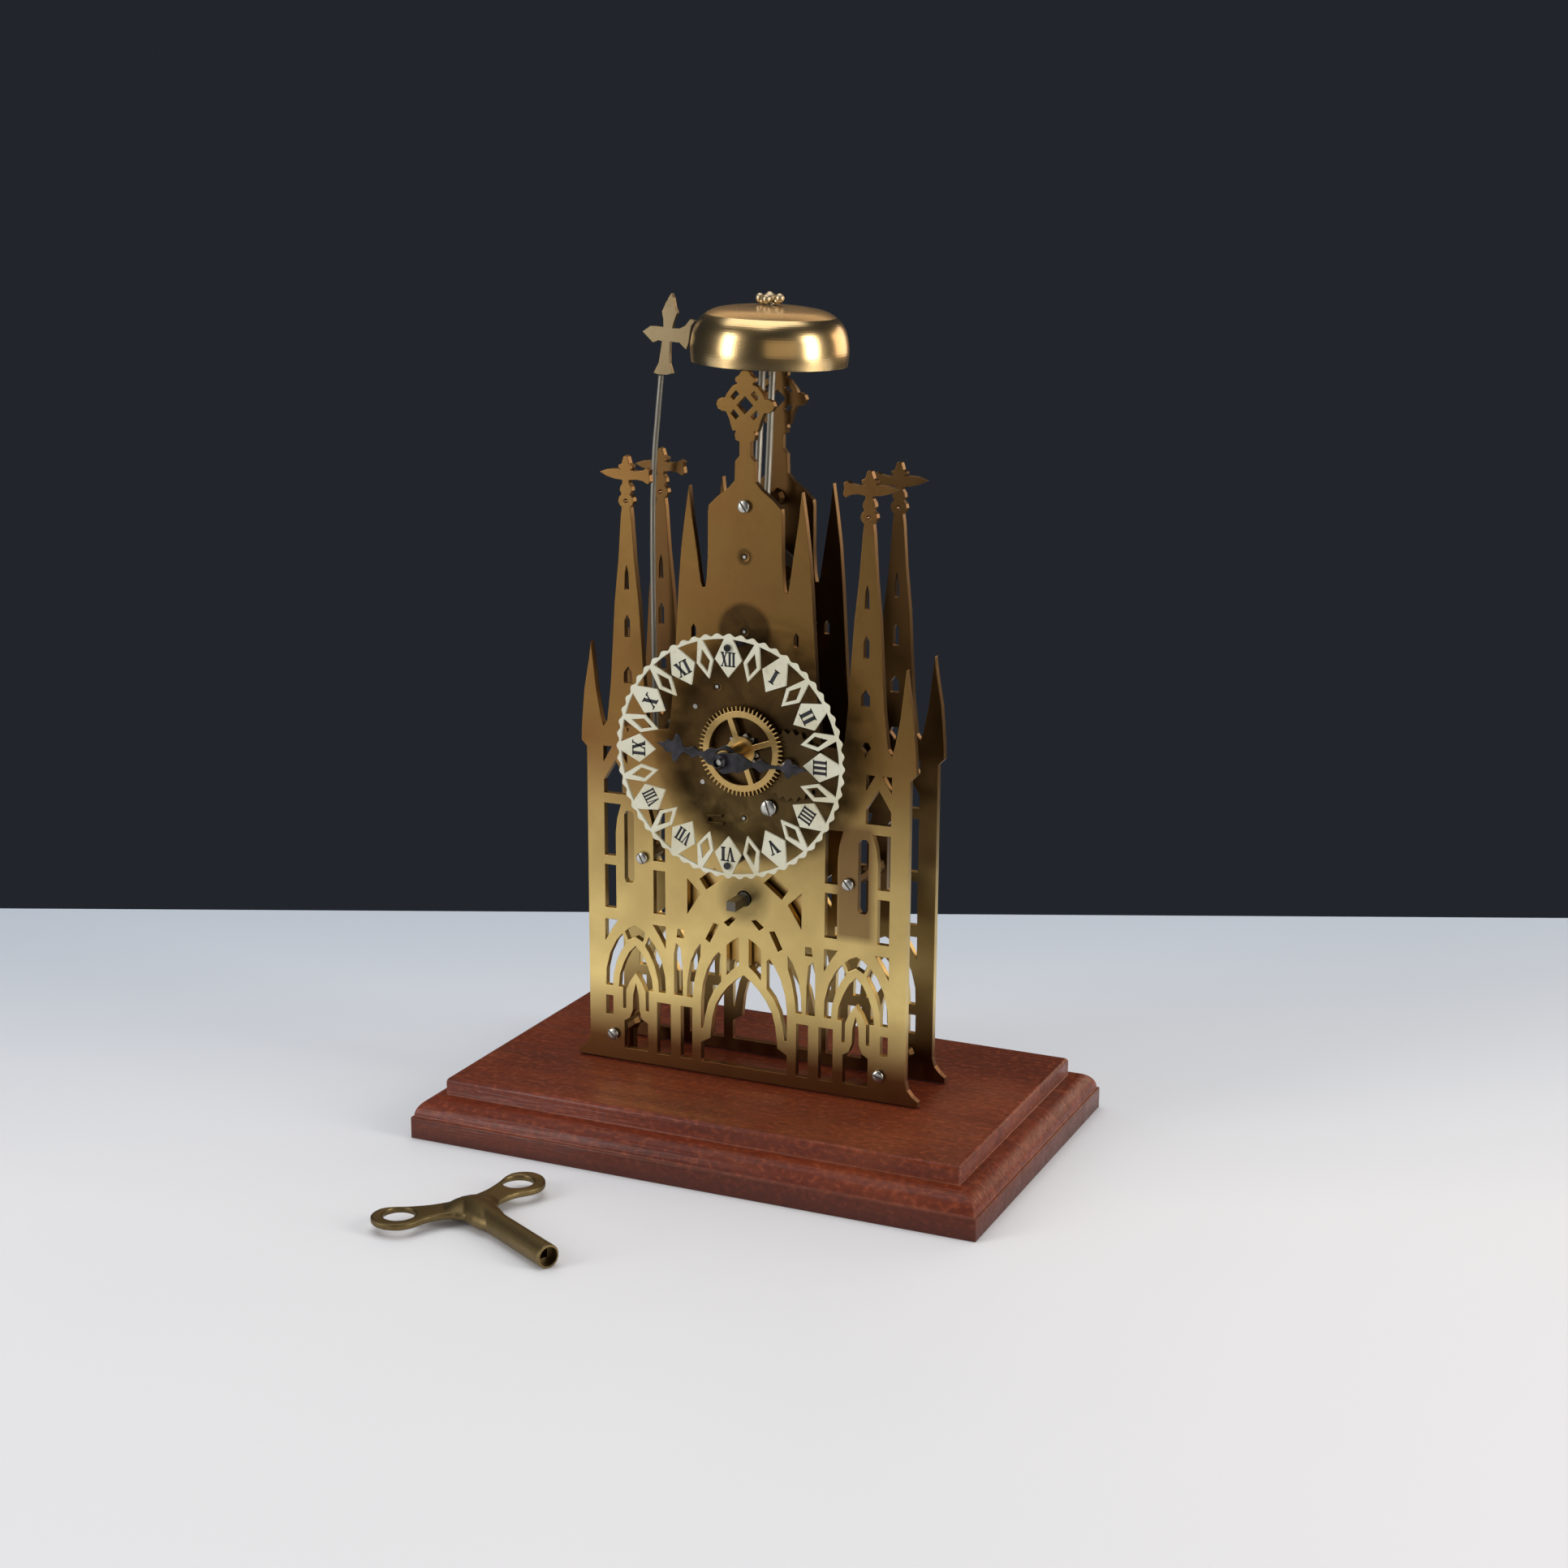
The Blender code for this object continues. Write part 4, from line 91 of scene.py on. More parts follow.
# Right half of a plate's outline, from its foot to the top of the finial, in millimetres
OUTLINE = (
    (62, 20.3), (62, 22), (60, 23.5), (58.3, 25.5), (57.5, 28.5), (57.5, 128.5), (59.5, 130.5),
    (59.3, 136), (58.2, 148), (56.4, 158), (55.6, 164), (54.9, 158), (53.8, 148), (52.3, 140),
    (51.2, 136), (49.8, 138), (48.4, 150), (47.4, 165), (46.6, 178), (45.1, 192), (44.1, 206),
    (43.7, 208.8), (44.6, 209.7), (45, 210.8), (44.7, 212), (43.7, 213.1), (44.4, 214.2),
    (44.2, 215.4), (43.4, 216.6), (43.5, 217.6), (46.2, 217.8), (49.2, 218.6), (51.6, 219.8),
    (48.8, 220.8), (45.6, 221.1), (43.9, 220.9), (44.8, 221.5), (44.8, 222.3), (43.6, 222.9),
    (43.3, 224), (42.9, 225.1), (42.2, 225.5), (41.5, 225.1), (41.1, 224), (40.8, 222.9),
    (39.6, 222.3), (39.6, 221.5), (40.5, 220.9), (38.4, 220.6), (36, 221), (34.7, 221.8),
    (33.6, 221.2), (33.8, 219.5), (33.4, 217.5), (34.3, 216.6), (36, 217.6), (38.6, 217.9),
    (40.9, 217.6), (41, 216.6), (40.2, 215.4), (40, 214.2), (40.7, 213.1), (39.7, 212),
    (39.4, 210.8), (39.8, 209.7), (40.7, 208.8), (40.3, 206), (39.3, 192), (37.8, 178), (36.9, 165),
    (36, 150), (35, 139), (33.5, 136.5), (27, 137), (25.6, 150), (24.6, 165), (23.8, 178),
    (23.3, 186), (22.4, 197), (21, 208), (19.6, 217.3), (18.6, 208), (16.9, 197), (15.4, 186.5),
    (14.9, 185), (13.9, 185), (13.4, 188), (13, 195), (12.9, 209.5), (12.6, 211.5), (9.8, 214.2),
    (5.8, 217.2), (3.6, 219.6), (3.4, 225.8), (1.9, 227.6), (1.9, 232), (3.3, 232.5), (3.6, 234.2),
    (3.1, 235.4), (4.3, 235.3), (4.8, 236.6), (5.5, 239), (6.6, 241.2), (8, 241.3), (9.4, 242),
    (10, 243.4), (9.4, 244.8), (8, 245.5), (7, 245.5), (6.2, 247), (4.3, 249.3), (2.5, 250.1),
    (3.4, 250.7), (3.4, 251.8), (2.1, 252.7), (1.5, 253.7), (0.8, 254.1), (0, 254.2),
)
ARCH = (
    (15.6, 24.5), (15.6, 31), (14.6, 31.6), (12.2, 33), (12, 35.5), (11.4, 40.5), (10.2, 45),
    (8.2, 48.6), (5.6, 52), (2.8, 54.6), (0, 56.6),
)
WINDOWS = (
    pane(19, 23.2, 24.5, 42.6),
    pane(27, 32, 24.5, 42.6),
    pane(48.7, 51.3, 36, 42.6),
    ((35.6, 24.7), (44.4, 24.7), (44.4, 34.4), (42.3, 35.6), (41.2, 38.5), (41, 44), (40, 48), (39, 44),
     (38.8, 38.5), (37.7, 35.6), (35.6, 34.4)),
    ((46.4, 46.2), (46, 50.5), (44.4, 55), (42.4, 58.8), (40, 61.3), (37.6, 58.8), (35.6, 55), (34, 50.5),
     (33.6, 46.2), (35.2, 46.2), (35.2, 38.8), (36.2, 38.8), (36.3, 45.5), (37.7, 48.6), (40, 52),
     (42.3, 48.6),
     (43.7, 45.5), (43.8, 38.8), (44.8, 38.8), (44.8, 46.2)),
    ((43.9, 66), (42.2, 67.4), (40, 68.4), (37.8, 67.4), (36.1, 66), (37.3, 63.2), (40, 64.6),
     (42.7, 63.2)),
    ((15.8, 65.4), (17.6, 63), (19.5, 58.5), (20.6, 52), (20.8, 46.2), (18.8, 46.2), (18.4, 51),
     (17.3, 56.5),
     (15.9, 61)),
    ((22.4, 46.2), (25.6, 46.2), (25.6, 60.5), (24.8, 64.4), (23.2, 63), (22.6, 56)),
    ((22, 66.4), (24.6, 66.4), (24.2, 69.4), (22, 69.4)),
    ((8.3, 53.2), (8.3, 62.6), (9.2, 63.4), (10.9, 61.4), (13.3, 57), (15, 51.5), (15.6, 46.5),
     (15.6, 36),
     (14.9, 36), (14.2, 40.5), (13, 45.5), (10.8, 50.2)),
    ((1.8, 60), (1.8, 69.4), (4.2, 68), (6.2, 66.2), (6.2, 55.9), (4.2, 58)),
    ((2.8, 75.8), (4.4, 76.2), (7.2, 74), (5.6, 72.8)),
    ((9.2, 72.8), (11, 73.2), (13.9, 67.4), (12.4, 66.4)),
    ((7.2, 89.3), (10.4, 92.2), (16, 87.8), (13.6, 84.4)),
    ((15.8, 82.8), (20.6, 87.3), (20.6, 75.2)),
    pane(28.8, 33.1, 73.6, 88.6),
    ((28.8, 91.8), (28.8, 109.8), (34.9, 109.8), (33.6, 105), (33.1, 100), (33.1, 91.8)),
    pane(47.1, 51.2, 73.6, 88.6),
    ((51.2, 91.8), (51.2, 109.8), (45.1, 109.8), (46.5, 105), (47.1, 100), (47.1, 91.8)),
    ((40.3, 84.5), (41, 83.2), (43.1, 83.2), (43.8, 84.5), (43.8, 106.5), (43.1, 107.8), (41, 107.8),
     (40.3, 106.5)),
    ((42.6, 129.2), (42.6, 124), (45.6, 129.2)),
    ((48.2, 129.2), (51.3, 129.2), (51.3, 124)),
    ((42.6, 113.2), (51.2, 113.2), (51.2, 117.8), (46.9, 124.6), (42.6, 117.8)),
    ((41.3, 182), (42.9, 182), (42.7, 187.5), (42.1, 190), (41.5, 187.5)),
    ((41.1, 166.4), (43, 166.4), (43, 172), (42, 173.8), (41.1, 172)),
    ((40.4, 151), (43.4, 151), (43.4, 154.6), (41.9, 156.6), (40.4, 154.6)),
    ((40.4, 137.8), (41.2, 139.6), (43.2, 139.6), (44, 137.8), (42.8, 136.4), (42.2, 134.8),
     (41.6, 136.4)),
    ((17.2, 168.2), (18.8, 168.2), (18.8, 171.6), (18, 172.8), (17.2, 171.6)),
    ((2, 246.8), (3.1, 247.9), (5, 246), (3.9, 244.9)),
    ((2, 240), (3.1, 238.9), (5, 240.8), (3.9, 241.9)),
)
ARCH_MIDDLE = 40
TWIN_WINDOWS = (
    ((51.2, 46.2), (51, 52), (49.6, 57.6), (47.2, 62.4), (45, 65), (43.6, 61.9), (45.3, 59.2),
     (47.2, 55.2), (48.4, 50.5), (48.7, 46.2)),
    ((51.3, 69.6), (46.6, 69.6), (48.8, 66.4), (51.3, 62)),
)
SPIRE_RING = (42.2, 210.9, 0.7)
FINIAL_EYE = (0, 243.4, 2.8)


def linked(item):
    """The object, once it is in the scene."""
    if item.name not in bpy.context.scene.collection.objects:
        bpy.context.scene.collection.objects.link(item)
    return item


def finish_piece(item, body, slot, covers=(), look=None):
    """Gives a new piece its material and the body that it rides on, and hides the nodes that it stands for."""
    linked(item)
    item.data.materials.clear()
    item.data.materials.append(look or MATERIALS[slot])
    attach(item, body)
    if covers:
        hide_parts(*covers)


def middle_of(node):
    """The middle of a node's box."""
    low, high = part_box(node)
    return (low + high) / 2


def piece_from(name, solid, crease=ROUND_CREASE):
    """A smooth-shaded mesh object from a bmesh, with its sharp edges kept."""
    bmesh.ops.recalc_face_normals(solid, faces=solid.faces)
    data = bpy.data.meshes.new(name)
    solid.to_mesh(data)
    solid.free()
    data.shade_smooth()
    data.set_sharp_from_angle(angle=math.radians(crease))
    return bpy.data.objects.new(name, data)


def settle(item, crease=ROUND_CREASE):
    """Applies an object's modifiers and place, so that its mesh lies in the model's own frame."""
    linked(item)
    bpy.context.view_layer.update()
    data = bpy.data.meshes.new_from_object(item.evaluated_get(bpy.context.evaluated_depsgraph_get()))
    data.transform(item.matrix_world)
    solid = bmesh.new()
    solid.from_mesh(data)
    bmesh.ops.remove_doubles(solid, verts=solid.verts, dist=WELD)
    name = item.name
    bpy.data.objects.remove(item, do_unlink=True)
    return piece_from(name, solid, crease)


def turns(count):
    """So many angles, evenly round a full turn."""
    return [TURN * step / count for step in range(count)]


def circle(x, z, radius, count=24):
    """Points of a circle in the facade's plane."""
    return [(x + radius * math.cos(angle), z + radius * math.sin(angle)) for angle in turns(count)]


def around(centre, radius, angle):
    """The point of the facade's plane that lies in a direction from a joint."""
    return centre.x + radius * math.cos(angle), centre.z + radius * math.sin(angle)


def mirrored(points, middle=0):
    """The points mirrored left to right, in the opposite order."""
    return [(2 * middle - x, z) for x, z in reversed(points)]


def scaled(points):
    """Points given in millimetres, in metres."""
    return [(x * MM, z * MM) for x, z in points]


def sheet(name, outline, holes, low, high, ease=SMALL_EASE):
    """A flat piece cut to an outline, between two depths, with softened edges."""
    data = bpy.data.curves.new(name, "CURVE")
    data.dimensions = "2D"
    data.fill_mode = "BOTH"
    data.extrude = (high - low) / 2 - ease
    data.bevel_depth = ease
    data.offset = -ease
    data.bevel_resolution = 1
    for points in [outline, *holes]:
        spline = data.splines.new("POLY")
        spline.points.add(len(points) - 1)
        for knot, (x, z) in zip(spline.points, points):
            knot.co = (x, z, 0, 1)
        spline.use_cyclic_u = True
    item = bpy.data.objects.new(name, data)
    item.location = (0, (low + high) / 2, 0)
    item.rotation_euler = (math.pi / 2, 0, 0)
    return settle(item, SHEET_CREASE)


def eased(profile, ease=SMALL_EASE, closed=False):
    """A profile whose corners are cut back a little, so that they catch the light."""
    points = []
    count = len(profile)
    for number, point in enumerate(profile):
        if not closed and number in (0, count - 1):
            points.append(point)
            continue
        here = Vector(point)
        for other in (profile[number - 1], profile[(number + 1) % count]):
            reach = Vector(other) - here
            points.append(tuple(here + reach * min(ease / max(reach.length, WELD), EASE_SHARE)))
    return points


def turned(name, profile, x, z, sides=48, closed=False, upright=False, ease=SMALL_EASE):
    """A profile of radius and depth pairs turned about an axis along Y, or about a vertical one."""
    solid = bmesh.new()
    rings = []
    for radius, along in eased(profile, ease, closed):
        count = 1 if radius < WELD else sides
        loop = []
        for angle in turns(sides)[:count]:
            across = radius * math.cos(angle)
            up = radius * math.sin(angle)
            spot = (x + across, z + up, along) if upright else (x + across, along, z + up)
            loop.append(solid.verts.new(spot))
        rings.append(loop)
    pairs = list(zip(rings, rings[1:]))
    if closed:
        pairs.append((rings[-1], rings[0]))
    for first, second in pairs:
        for step in range(sides):
            after = (step + 1) % sides
            corners = [
                first[step % len(first)], first[after % len(first)],
                second[after % len(second)], second[step % len(second)],
            ]
            unique = list(dict.fromkeys(corners))
            if len(unique) > 2:
                solid.faces.new(unique)
    return piece_from(name, solid)


def cut(item, tool):
    """Cuts the shape of a bmesh out of a piece."""
    data = bpy.data.meshes.new("tool")
    tool.to_mesh(data)
    tool.free()
    cutter = linked(bpy.data.objects.new("tool", data))
    change = linked(item).modifiers.new("cut", "BOOLEAN")
    change.operation = "DIFFERENCE"
    change.object = cutter
    made = settle(item)
    bpy.data.objects.remove(cutter, do_unlink=True)
    return made


def fill(node, values):
    """The node, with values set on its inputs."""
    for socket, value in values.items():
        node.inputs[socket].default_value = value
    return node


class Nodes:
    """Short ways to build a procedural material in the piece's own coordinates."""

    def __init__(self, name, colour, roughness, metallic=0.0):
        self.material = bpy.data.materials.new(name)
        self.material.use_nodes = True
        self.tree = self.material.node_tree
        self.shader = self.tree.nodes["Principled BSDF"]
        fill(self.shader, {"Base Color": (*colour, 1), "Roughness": roughness, "Metallic": metallic})
        self.coordinates = self.add("TexCoord").outputs["Object"]

    def add(self, kind, values=None):
        """A new node of a kind, with values for its inputs."""
        return fill(self.tree.nodes.new("ShaderNode" + kind), values or {})

    def link(self, output, target):
        self.tree.links.new(output, target)

    def set(self, socket, output):
        """Links an output to one of the shader's sockets."""
        self.link(output, self.shader.inputs[socket])

    def along(self, axis):
        """The piece's own coordinate along one axis."""
        node = self.add("SeparateXYZ")
        self.link(self.coordinates, node.inputs["Vector"])
        return node.outputs[axis]

    def noise(self, scale, detail=4, stretch=(1, 1, 1), distortion=0.0):
        """Noise from 0 to 1, in coordinates scaled along each axis."""
        mapping = self.add("Mapping", {"Scale": stretch})
        self.link(self.coordinates, mapping.inputs["Vector"])
        texture = self.add("TexNoise", {"Scale": scale, "Detail": detail, "Distortion": distortion})
        self.link(mapping.outputs["Vector"], texture.inputs["Vector"])
        return texture.outputs["Fac"]

    def spread(self, value, low, high, out_low=0.0, out_high=1.0):
        """A value carried from one range to another, and kept inside that."""
        ends = {"From Min": low, "From Max": high, "To Min": out_low, "To Max": out_high}
        node = self.add("MapRange", ends)
        self.link(value, node.inputs["Value"])
        return node.outputs["Result"]

    def mix(self, factor, first, second):
        """The first colour where the factor is 0, and the second where it is 1."""
        node = self.add("Mix")
        node.data_type = "RGBA"
        self.link(factor, node.inputs["Factor"])
        for socket, value in ((node.inputs["A"], first), (node.inputs["B"], second)):
            if isinstance(value, tuple):
                socket.default_value = (*value, 1)
            else:
                self.link(value, socket)
        return node.outputs["Result"]

    def combine(self, first, second, operation="MULTIPLY"):
        """What an operation makes of two values, where a float is the same all over."""
        node = self.add("Math")
        node.operation = operation
        for socket, value in zip(node.inputs, (first, second)):
            if isinstance(value, float):
                socket.default_value = value
            else:
                self.link(value, socket)
        return node.outputs["Value"]

    def near(self, place, radius, soft):
        """1 near a place, falling to 0 beyond the radius."""
        node = self.add("VectorMath", {1: place})
        node.operation = "DISTANCE"
        self.link(self.coordinates, node.inputs[0])
        return self.spread(node.outputs["Value"], radius + soft, radius)

    def between(self, axis, start, end, soft):
        """1 between two places along an axis, falling to 0 outside them."""
        place = self.along(axis)
        return self.combine(self.spread(place, start - soft, start), self.spread(place, end + soft, end))

    def softened(self, reach):
        """The surface's direction, rounded over at its edges."""
        node = self.add("Bevel", {"Radius": reach})
        node.samples = 4
        return node.outputs["Normal"]

    def worn_edge(self, reach):
        """1 on the edges of the shape, 0 on its faces."""
        compare = self.add("VectorMath")
        compare.operation = "DOT_PRODUCT"
        self.link(self.softened(reach), compare.inputs[0])
        self.link(self.add("NewGeometry").outputs["Normal"], compare.inputs[1])
        return self.spread(compare.outputs["Value"], 0.985, 0.90)

    def bump(self, height, strength, distance, edge=0.0):
        """Gives the surface a relief, and soft edges too where an edge is given."""
        node = self.add("Bump", {"Strength": strength, "Distance": distance})
        self.link(height, node.inputs["Height"])
        if edge:
            self.link(self.softened(edge), node.inputs["Normal"])
        self.set("Normal", node.outputs["Normal"])


def brass(name, bright, dull, roughness, specks=0.25, edge=0.12 * MM):
    """Brass with patchy tone, fine grain and small specks of tarnish. Returns its nodes and its colour."""
    made = Nodes(name, bright, roughness, 1.0)
    patches = made.spread(made.noise(38, 5, distortion=0.6), 0.35, 0.68)
    colour = made.mix(patches, bright, dull)
    if specks:
        spots = made.spread(made.noise(620, 3), 0.62, 0.74)
        colour = made.mix(made.combine(spots, specks), colour, (0.10, 0.07, 0.03))
    wear = made.spread(patches, 0, 1, roughness * 0.9, roughness * 1.15)
    if edge:
        grain = made.noise(900, 2)
        wear = made.combine(wear, made.spread(grain, 0.3, 0.7, 0.94, 1.08))
        made.bump(grain, 0.04, 0.03 * MM, edge)
    else:
        made.bump(made.noise(30, 2), 0.02, 0.3 * MM)
    made.set("Roughness", wear)
    made.set("Base Color", colour)
    return made, colour


def plain_brass(*choices):
    """A brass material with nothing added to it."""
    return brass(*choices)[0].material


def plate_brass():
    """The plates: a painted reflection of the table pales them towards the foot, painted shadows darken them
    behind and beside the dial, and painted shade darkens their inner faces.
    """
    made, colour = brass("plate_brass", (0.27, 0.150, 0.046), (0.195, 0.105, 0.031), 0.34)
    height = made.along("Z")
    brown = made.spread(made.noise(26, 4), 0.52, 0.72, 0.0, 0.55)
    colour = made.mix(brown, colour, (0.215, 0.092, 0.032))
    mottle = made.spread(made.noise(60, 4), 0.35, 0.65, 0.75, 1.0)
    # Painted reflection of the pale table: the plates grow paler towards the foot
    pale = made.combine(made.spread(height, 132 * MM, 38 * MM), mottle)
    colour = made.mix(pale, colour, (0.97, 0.75, 0.30))
    foot = made.spread(height, 50 * MM, 28 * MM)
    colour = made.mix(foot, colour, (0.19, 0.080, 0.028))
    blotch = made.spread(made.noise(150, 4, distortion=0.8), 0.38, 0.60, 0.82, 1.0)
    # Painted shadows above the dial's top, inside the dial and round the winding arbor, and a dark ring at the
    # pallet pivot, mottled by the blotches
    for x, z, radius, soft, strength in PLATE_SHADOWS_AND_STAINS:
        spot = made.near((x * MM, PLATE_FACE, z * MM), radius * MM, soft * MM)
        shadow_and_stain = made.combine(made.combine(spot, blotch), strength)
        colour = made.mix(shadow_and_stain, colour, (0.036, 0.022, 0.010))
    # Painted shadow: a darker patch round the right pillar screw, beside the dial
    across = made.between("X", SCREW_RIGHT.x - 3 * MM, SCREW_RIGHT.x + 7 * MM, 3 * MM)
    right_shadow = made.combine(across, made.between("Z", SCREW_RIGHT.z - 17 * MM, SCREW_RIGHT.z + 18 * MM, 3 * MM))
    colour = made.mix(made.combine(right_shadow, 0.72), colour, (0.150, 0.075, 0.035))
    aside = made.combine(made.combine(made.along("Y"), PLATES_MIDDLE, "SUBTRACT"), 0.0, "ABSOLUTE")
    inner = made.spread(aside, PLATES_GAP / 2 + 0.4 * MM, PLATES_GAP / 2 + 0.1 * MM)
    shade = made.combine(inner, made.spread(height, 70 * MM, 140 * MM, 0.45, 0.70))
    made.set("Base Color", made.mix(shade, colour, (0.10, 0.050, 0.020)))
    return made.material


def bell_brass():
    """Smooth golden bell metal under a soft lacquer."""
    made = brass("bell_brass", (0.84, 0.59, 0.27), (0.77, 0.50, 0.20), 0.27, 0, 0)[0]
    fill(made.shader, {"Coat Weight": 0.8, "Coat Roughness": 0.22})
    return made.material


def steel(name, colour, roughness):
    """Bright steel with a little brown staining and worn patches."""
    made = Nodes(name, colour, roughness, 1.0)
    rust = made.spread(made.noise(160, 5), 0.58, 0.80)
    made.set("Base Color", made.mix(made.combine(rust, 0.3), colour, (0.26, 0.18, 0.11)))
    made.set("Roughness", made.spread(made.noise(90, 3), 0.3, 0.7, roughness * 0.85, roughness * 1.25))
    made.bump(made.noise(300, 2), 0.02, 0.02 * MM)
    return made.material


def mahogany():
    """Polished mahogany: long grain, darker figure and open pores, with painted shade on the plinth under the
    quarter round, and darker towards the bottom.
    """
    made = Nodes("mahogany", (0.14, 0.03, 0.015), 0.38)
    height = made.along("Z")
    figure = made.spread(made.noise(14, 4, (0.35, 2.2, 2.2), 1.2), 0.3, 0.7)
    grain = made.noise(120, 5, (0.06, 1.6, 1.6), 0.4)
    pores = made.noise(900, 2, (0.06, 1, 1))
    patches = made.noise(22, 3)
    fleck = made.noise(560, 3, (0.8, 1, 1))
    colour = made.mix(figure, (0.170, 0.0275, 0.0085), (0.100, 0.0165, 0.0065))
    for layer, tint in (
        (made.spread(grain, 0.42, 0.70, 0.0, 0.42), (0.065, 0.013, 0.008)),
        (made.spread(patches, 0.5, 0.8, 0.0, 0.35), (0.28, 0.075, 0.028)),
        (made.spread(fleck, 0.52, 0.68, 0.0, 0.40), (0.30, 0.070, 0.026)),
        (made.spread(fleck, 0.46, 0.30, 0.0, 0.40), (0.045, 0.011, 0.008)),
        (made.combine(made.worn_edge(0.9 * MM), 0.35), (0.42, 0.19, 0.12)),
        # Painted shade: the plinth under the quarter round is darker
        (made.spread(height, 7.6 * MM, 7.2 * MM, 0.0, 0.50), (0.055, 0.014, 0.008)),
        # Darker towards the bottom
        (made.spread(height, 5 * MM, 0.5 * MM, 0.0, 0.5), (0.050, 0.012, 0.008)),
    ):
        colour = made.mix(layer, colour, tint)
    made.set("Base Color", colour)
    made.set("Roughness", made.spread(grain, 0.3, 0.7, 0.32, 0.52))
    fill(made.shader, {"Specular IOR Level": 0.16, "Coat Weight": 0.22, "Coat Roughness": 0.24})
    relief = made.combine(made.spread(pores, 0.45, 0.60, 1.0, 0.0), made.noise(260, 4), "ADD")
    made.bump(relief, 0.45, 0.12 * MM)
    made.set("Coat Normal", made.shader.inputs["Normal"].links[0].from_socket)
    return made.material


def silvered():
    """The dial's matt off-white, yellowed here and there."""
    made = Nodes("silvered", (0.80, 0.77, 0.66), 0.5)
    age = made.spread(made.noise(70, 5), 0.42, 0.72)
    grime = made.spread(made.noise(420, 4), 0.60, 0.75)
    colour = made.mix(age, (0.68, 0.66, 0.51), (0.56, 0.51, 0.34))
    made.set("Base Color", made.mix(made.combine(grime, 0.5), colour, (0.40, 0.34, 0.22)))
    made.set("Roughness", made.spread(grime, 0, 1, 0.42, 0.65))
    made.bump(made.noise(1300, 2), 0.12, 0.05 * MM, 0.10 * MM)
    return made.material


def blackened(name, colour, roughness):
    """Black paint or bluing with a faint mottle."""
    made = Nodes(name, colour, roughness, 0.3)
    mottle = made.spread(made.noise(300, 4), 0.4, 0.7)
    made.set("Base Color", made.mix(mottle, colour, (0.035, 0.030, 0.040)))
    made.set("Roughness", made.spread(mottle, 0, 1, roughness * 0.8, roughness * 1.3))
    made.bump(made.noise(1500, 2), 0.10, 0.04 * MM, 0.10 * MM)
    return made.material


def table_top():
    """The pale table, faintly uneven, with painted shade that makes it darker and bluer far off."""
    made = Nodes("table_top", (0.78, 0.79, 0.82), 0.55)
    tone = made.spread(made.noise(3, 3), 0.3, 0.7)
    colour = made.mix(tone, (0.80, 0.79, 0.80), (0.77, 0.765, 0.78))
    # Painted shade: darker and bluer far off
    far = made.spread(made.along("Y"), 0.02, 0.34)
    made.set("Base Color", made.mix(far, colour, (0.53, 0.59, 0.67)))
    return made.material


PLATE_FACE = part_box("front_plate")[0].y
PLATES_MIDDLE = (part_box("front_plate")[1].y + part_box("rear_plate")[0].y) / 2
PLATES_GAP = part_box("rear_plate")[0].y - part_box("front_plate")[1].y
SCREW_RIGHT = middle_of("front_screw_right")
# Place, radius and softness in millimetres, and strength, of each dark patch on the plates: painted shadows above
# the dial's top, inside the dial and round the winding arbor, and a dark ring at the pallet pivot
PLATE_SHADOWS_AND_STAINS = (
    (0, 171.7, 8.2, 1.8, 0.86),
    (0, 195.7, 2.2, 0.9, 0.60),
    (6.5, 132.5, 31, 8, 0.85),
    (17.0, 133.0, 13, 8, 0.70),
    (0, 83.0, 5.5, 5, 0.55),
)
MATERIALS = {
    "mahogany": mahogany(),
    "plate_brass": plate_brass(),
    "wheel_brass": plain_brass("wheel_brass", (0.66, 0.455, 0.18), (0.54, 0.355, 0.130), 0.30, 0.12),
    "bell_brass": bell_brass(),
    "old_brass": plain_brass("old_brass", (0.24, 0.172, 0.076), (0.135, 0.097, 0.045), 0.48, 0.35),
    "steel": steel("steel", (0.50, 0.49, 0.45), 0.30),
    "blued_steel": blackened("blued_steel", (0.008, 0.0075, 0.0080), 0.36),
    "silvered": silvered(),
}
# Finishes of single pieces, which differ from their slot's own
# A darker steel for the winding arbor
DARK_STEEL = steel("dark_steel", (0.14, 0.128, 0.105), 0.30)
ROD_STEEL = steel("rod_steel", (0.30, 0.28, 0.235), 0.50)
INK = blackened("ink", (0.010, 0.010, 0.010), 0.5)
PALE_BRASS = plain_brass("pale_brass", (0.74, 0.60, 0.40), (0.62, 0.49, 0.31), 0.42, 0.1)
CAST_BRASS = plain_brass("cast_brass", (0.25, 0.190, 0.105), (0.19, 0.138, 0.072), 0.40)
# Painted shade: a dark copy of the wheel brass for the minute wheel, which sits in the dial's shadow
SHADED_BRASS = plain_brass("shaded_brass", (0.11, 0.070, 0.028), (0.07, 0.044, 0.018), 0.42)

SPECIAL = {
    "hand_nut": MATERIALS["blued_steel"],
    "barrel_arbor": DARK_STEEL,
    "bell_stand": ROD_STEEL,
    "bell_nut": PALE_BRASS,
    "hammer_head": CAST_BRASS,
    # The minute wheel takes the painted-shade brass
    "minute_wheel": SHADED_BRASS,
}
ROUND_NODES = (
    "arbor", "screw", "pillar", "rod", "stud", "nut", "bob", "cap", "foot", "stop", "bell_stand", "barrel",
)


def carried_nodes():
    """Smooth shading and materials for the nodes that come from the frame."""
    for name, node in frame["nodes"].items():
        crease = ROUND_NODE_CREASE if any(word in name for word in ROUND_NODES) else FLAT_NODE_CREASE
        node.data.shade_smooth()
        node.data.set_sharp_from_angle(angle=math.radians(crease))
        node.data.materials.clear()
        node.data.materials.append(SPECIAL.get(name, MATERIALS[SLOTS[name]]))


PILLARS = ("top", "left", "right", "foot_left", "foot_right")
PIVOTS = ("second_turn", "third_turn", "escape_turn", "hammer_lift", "pallet_rock")


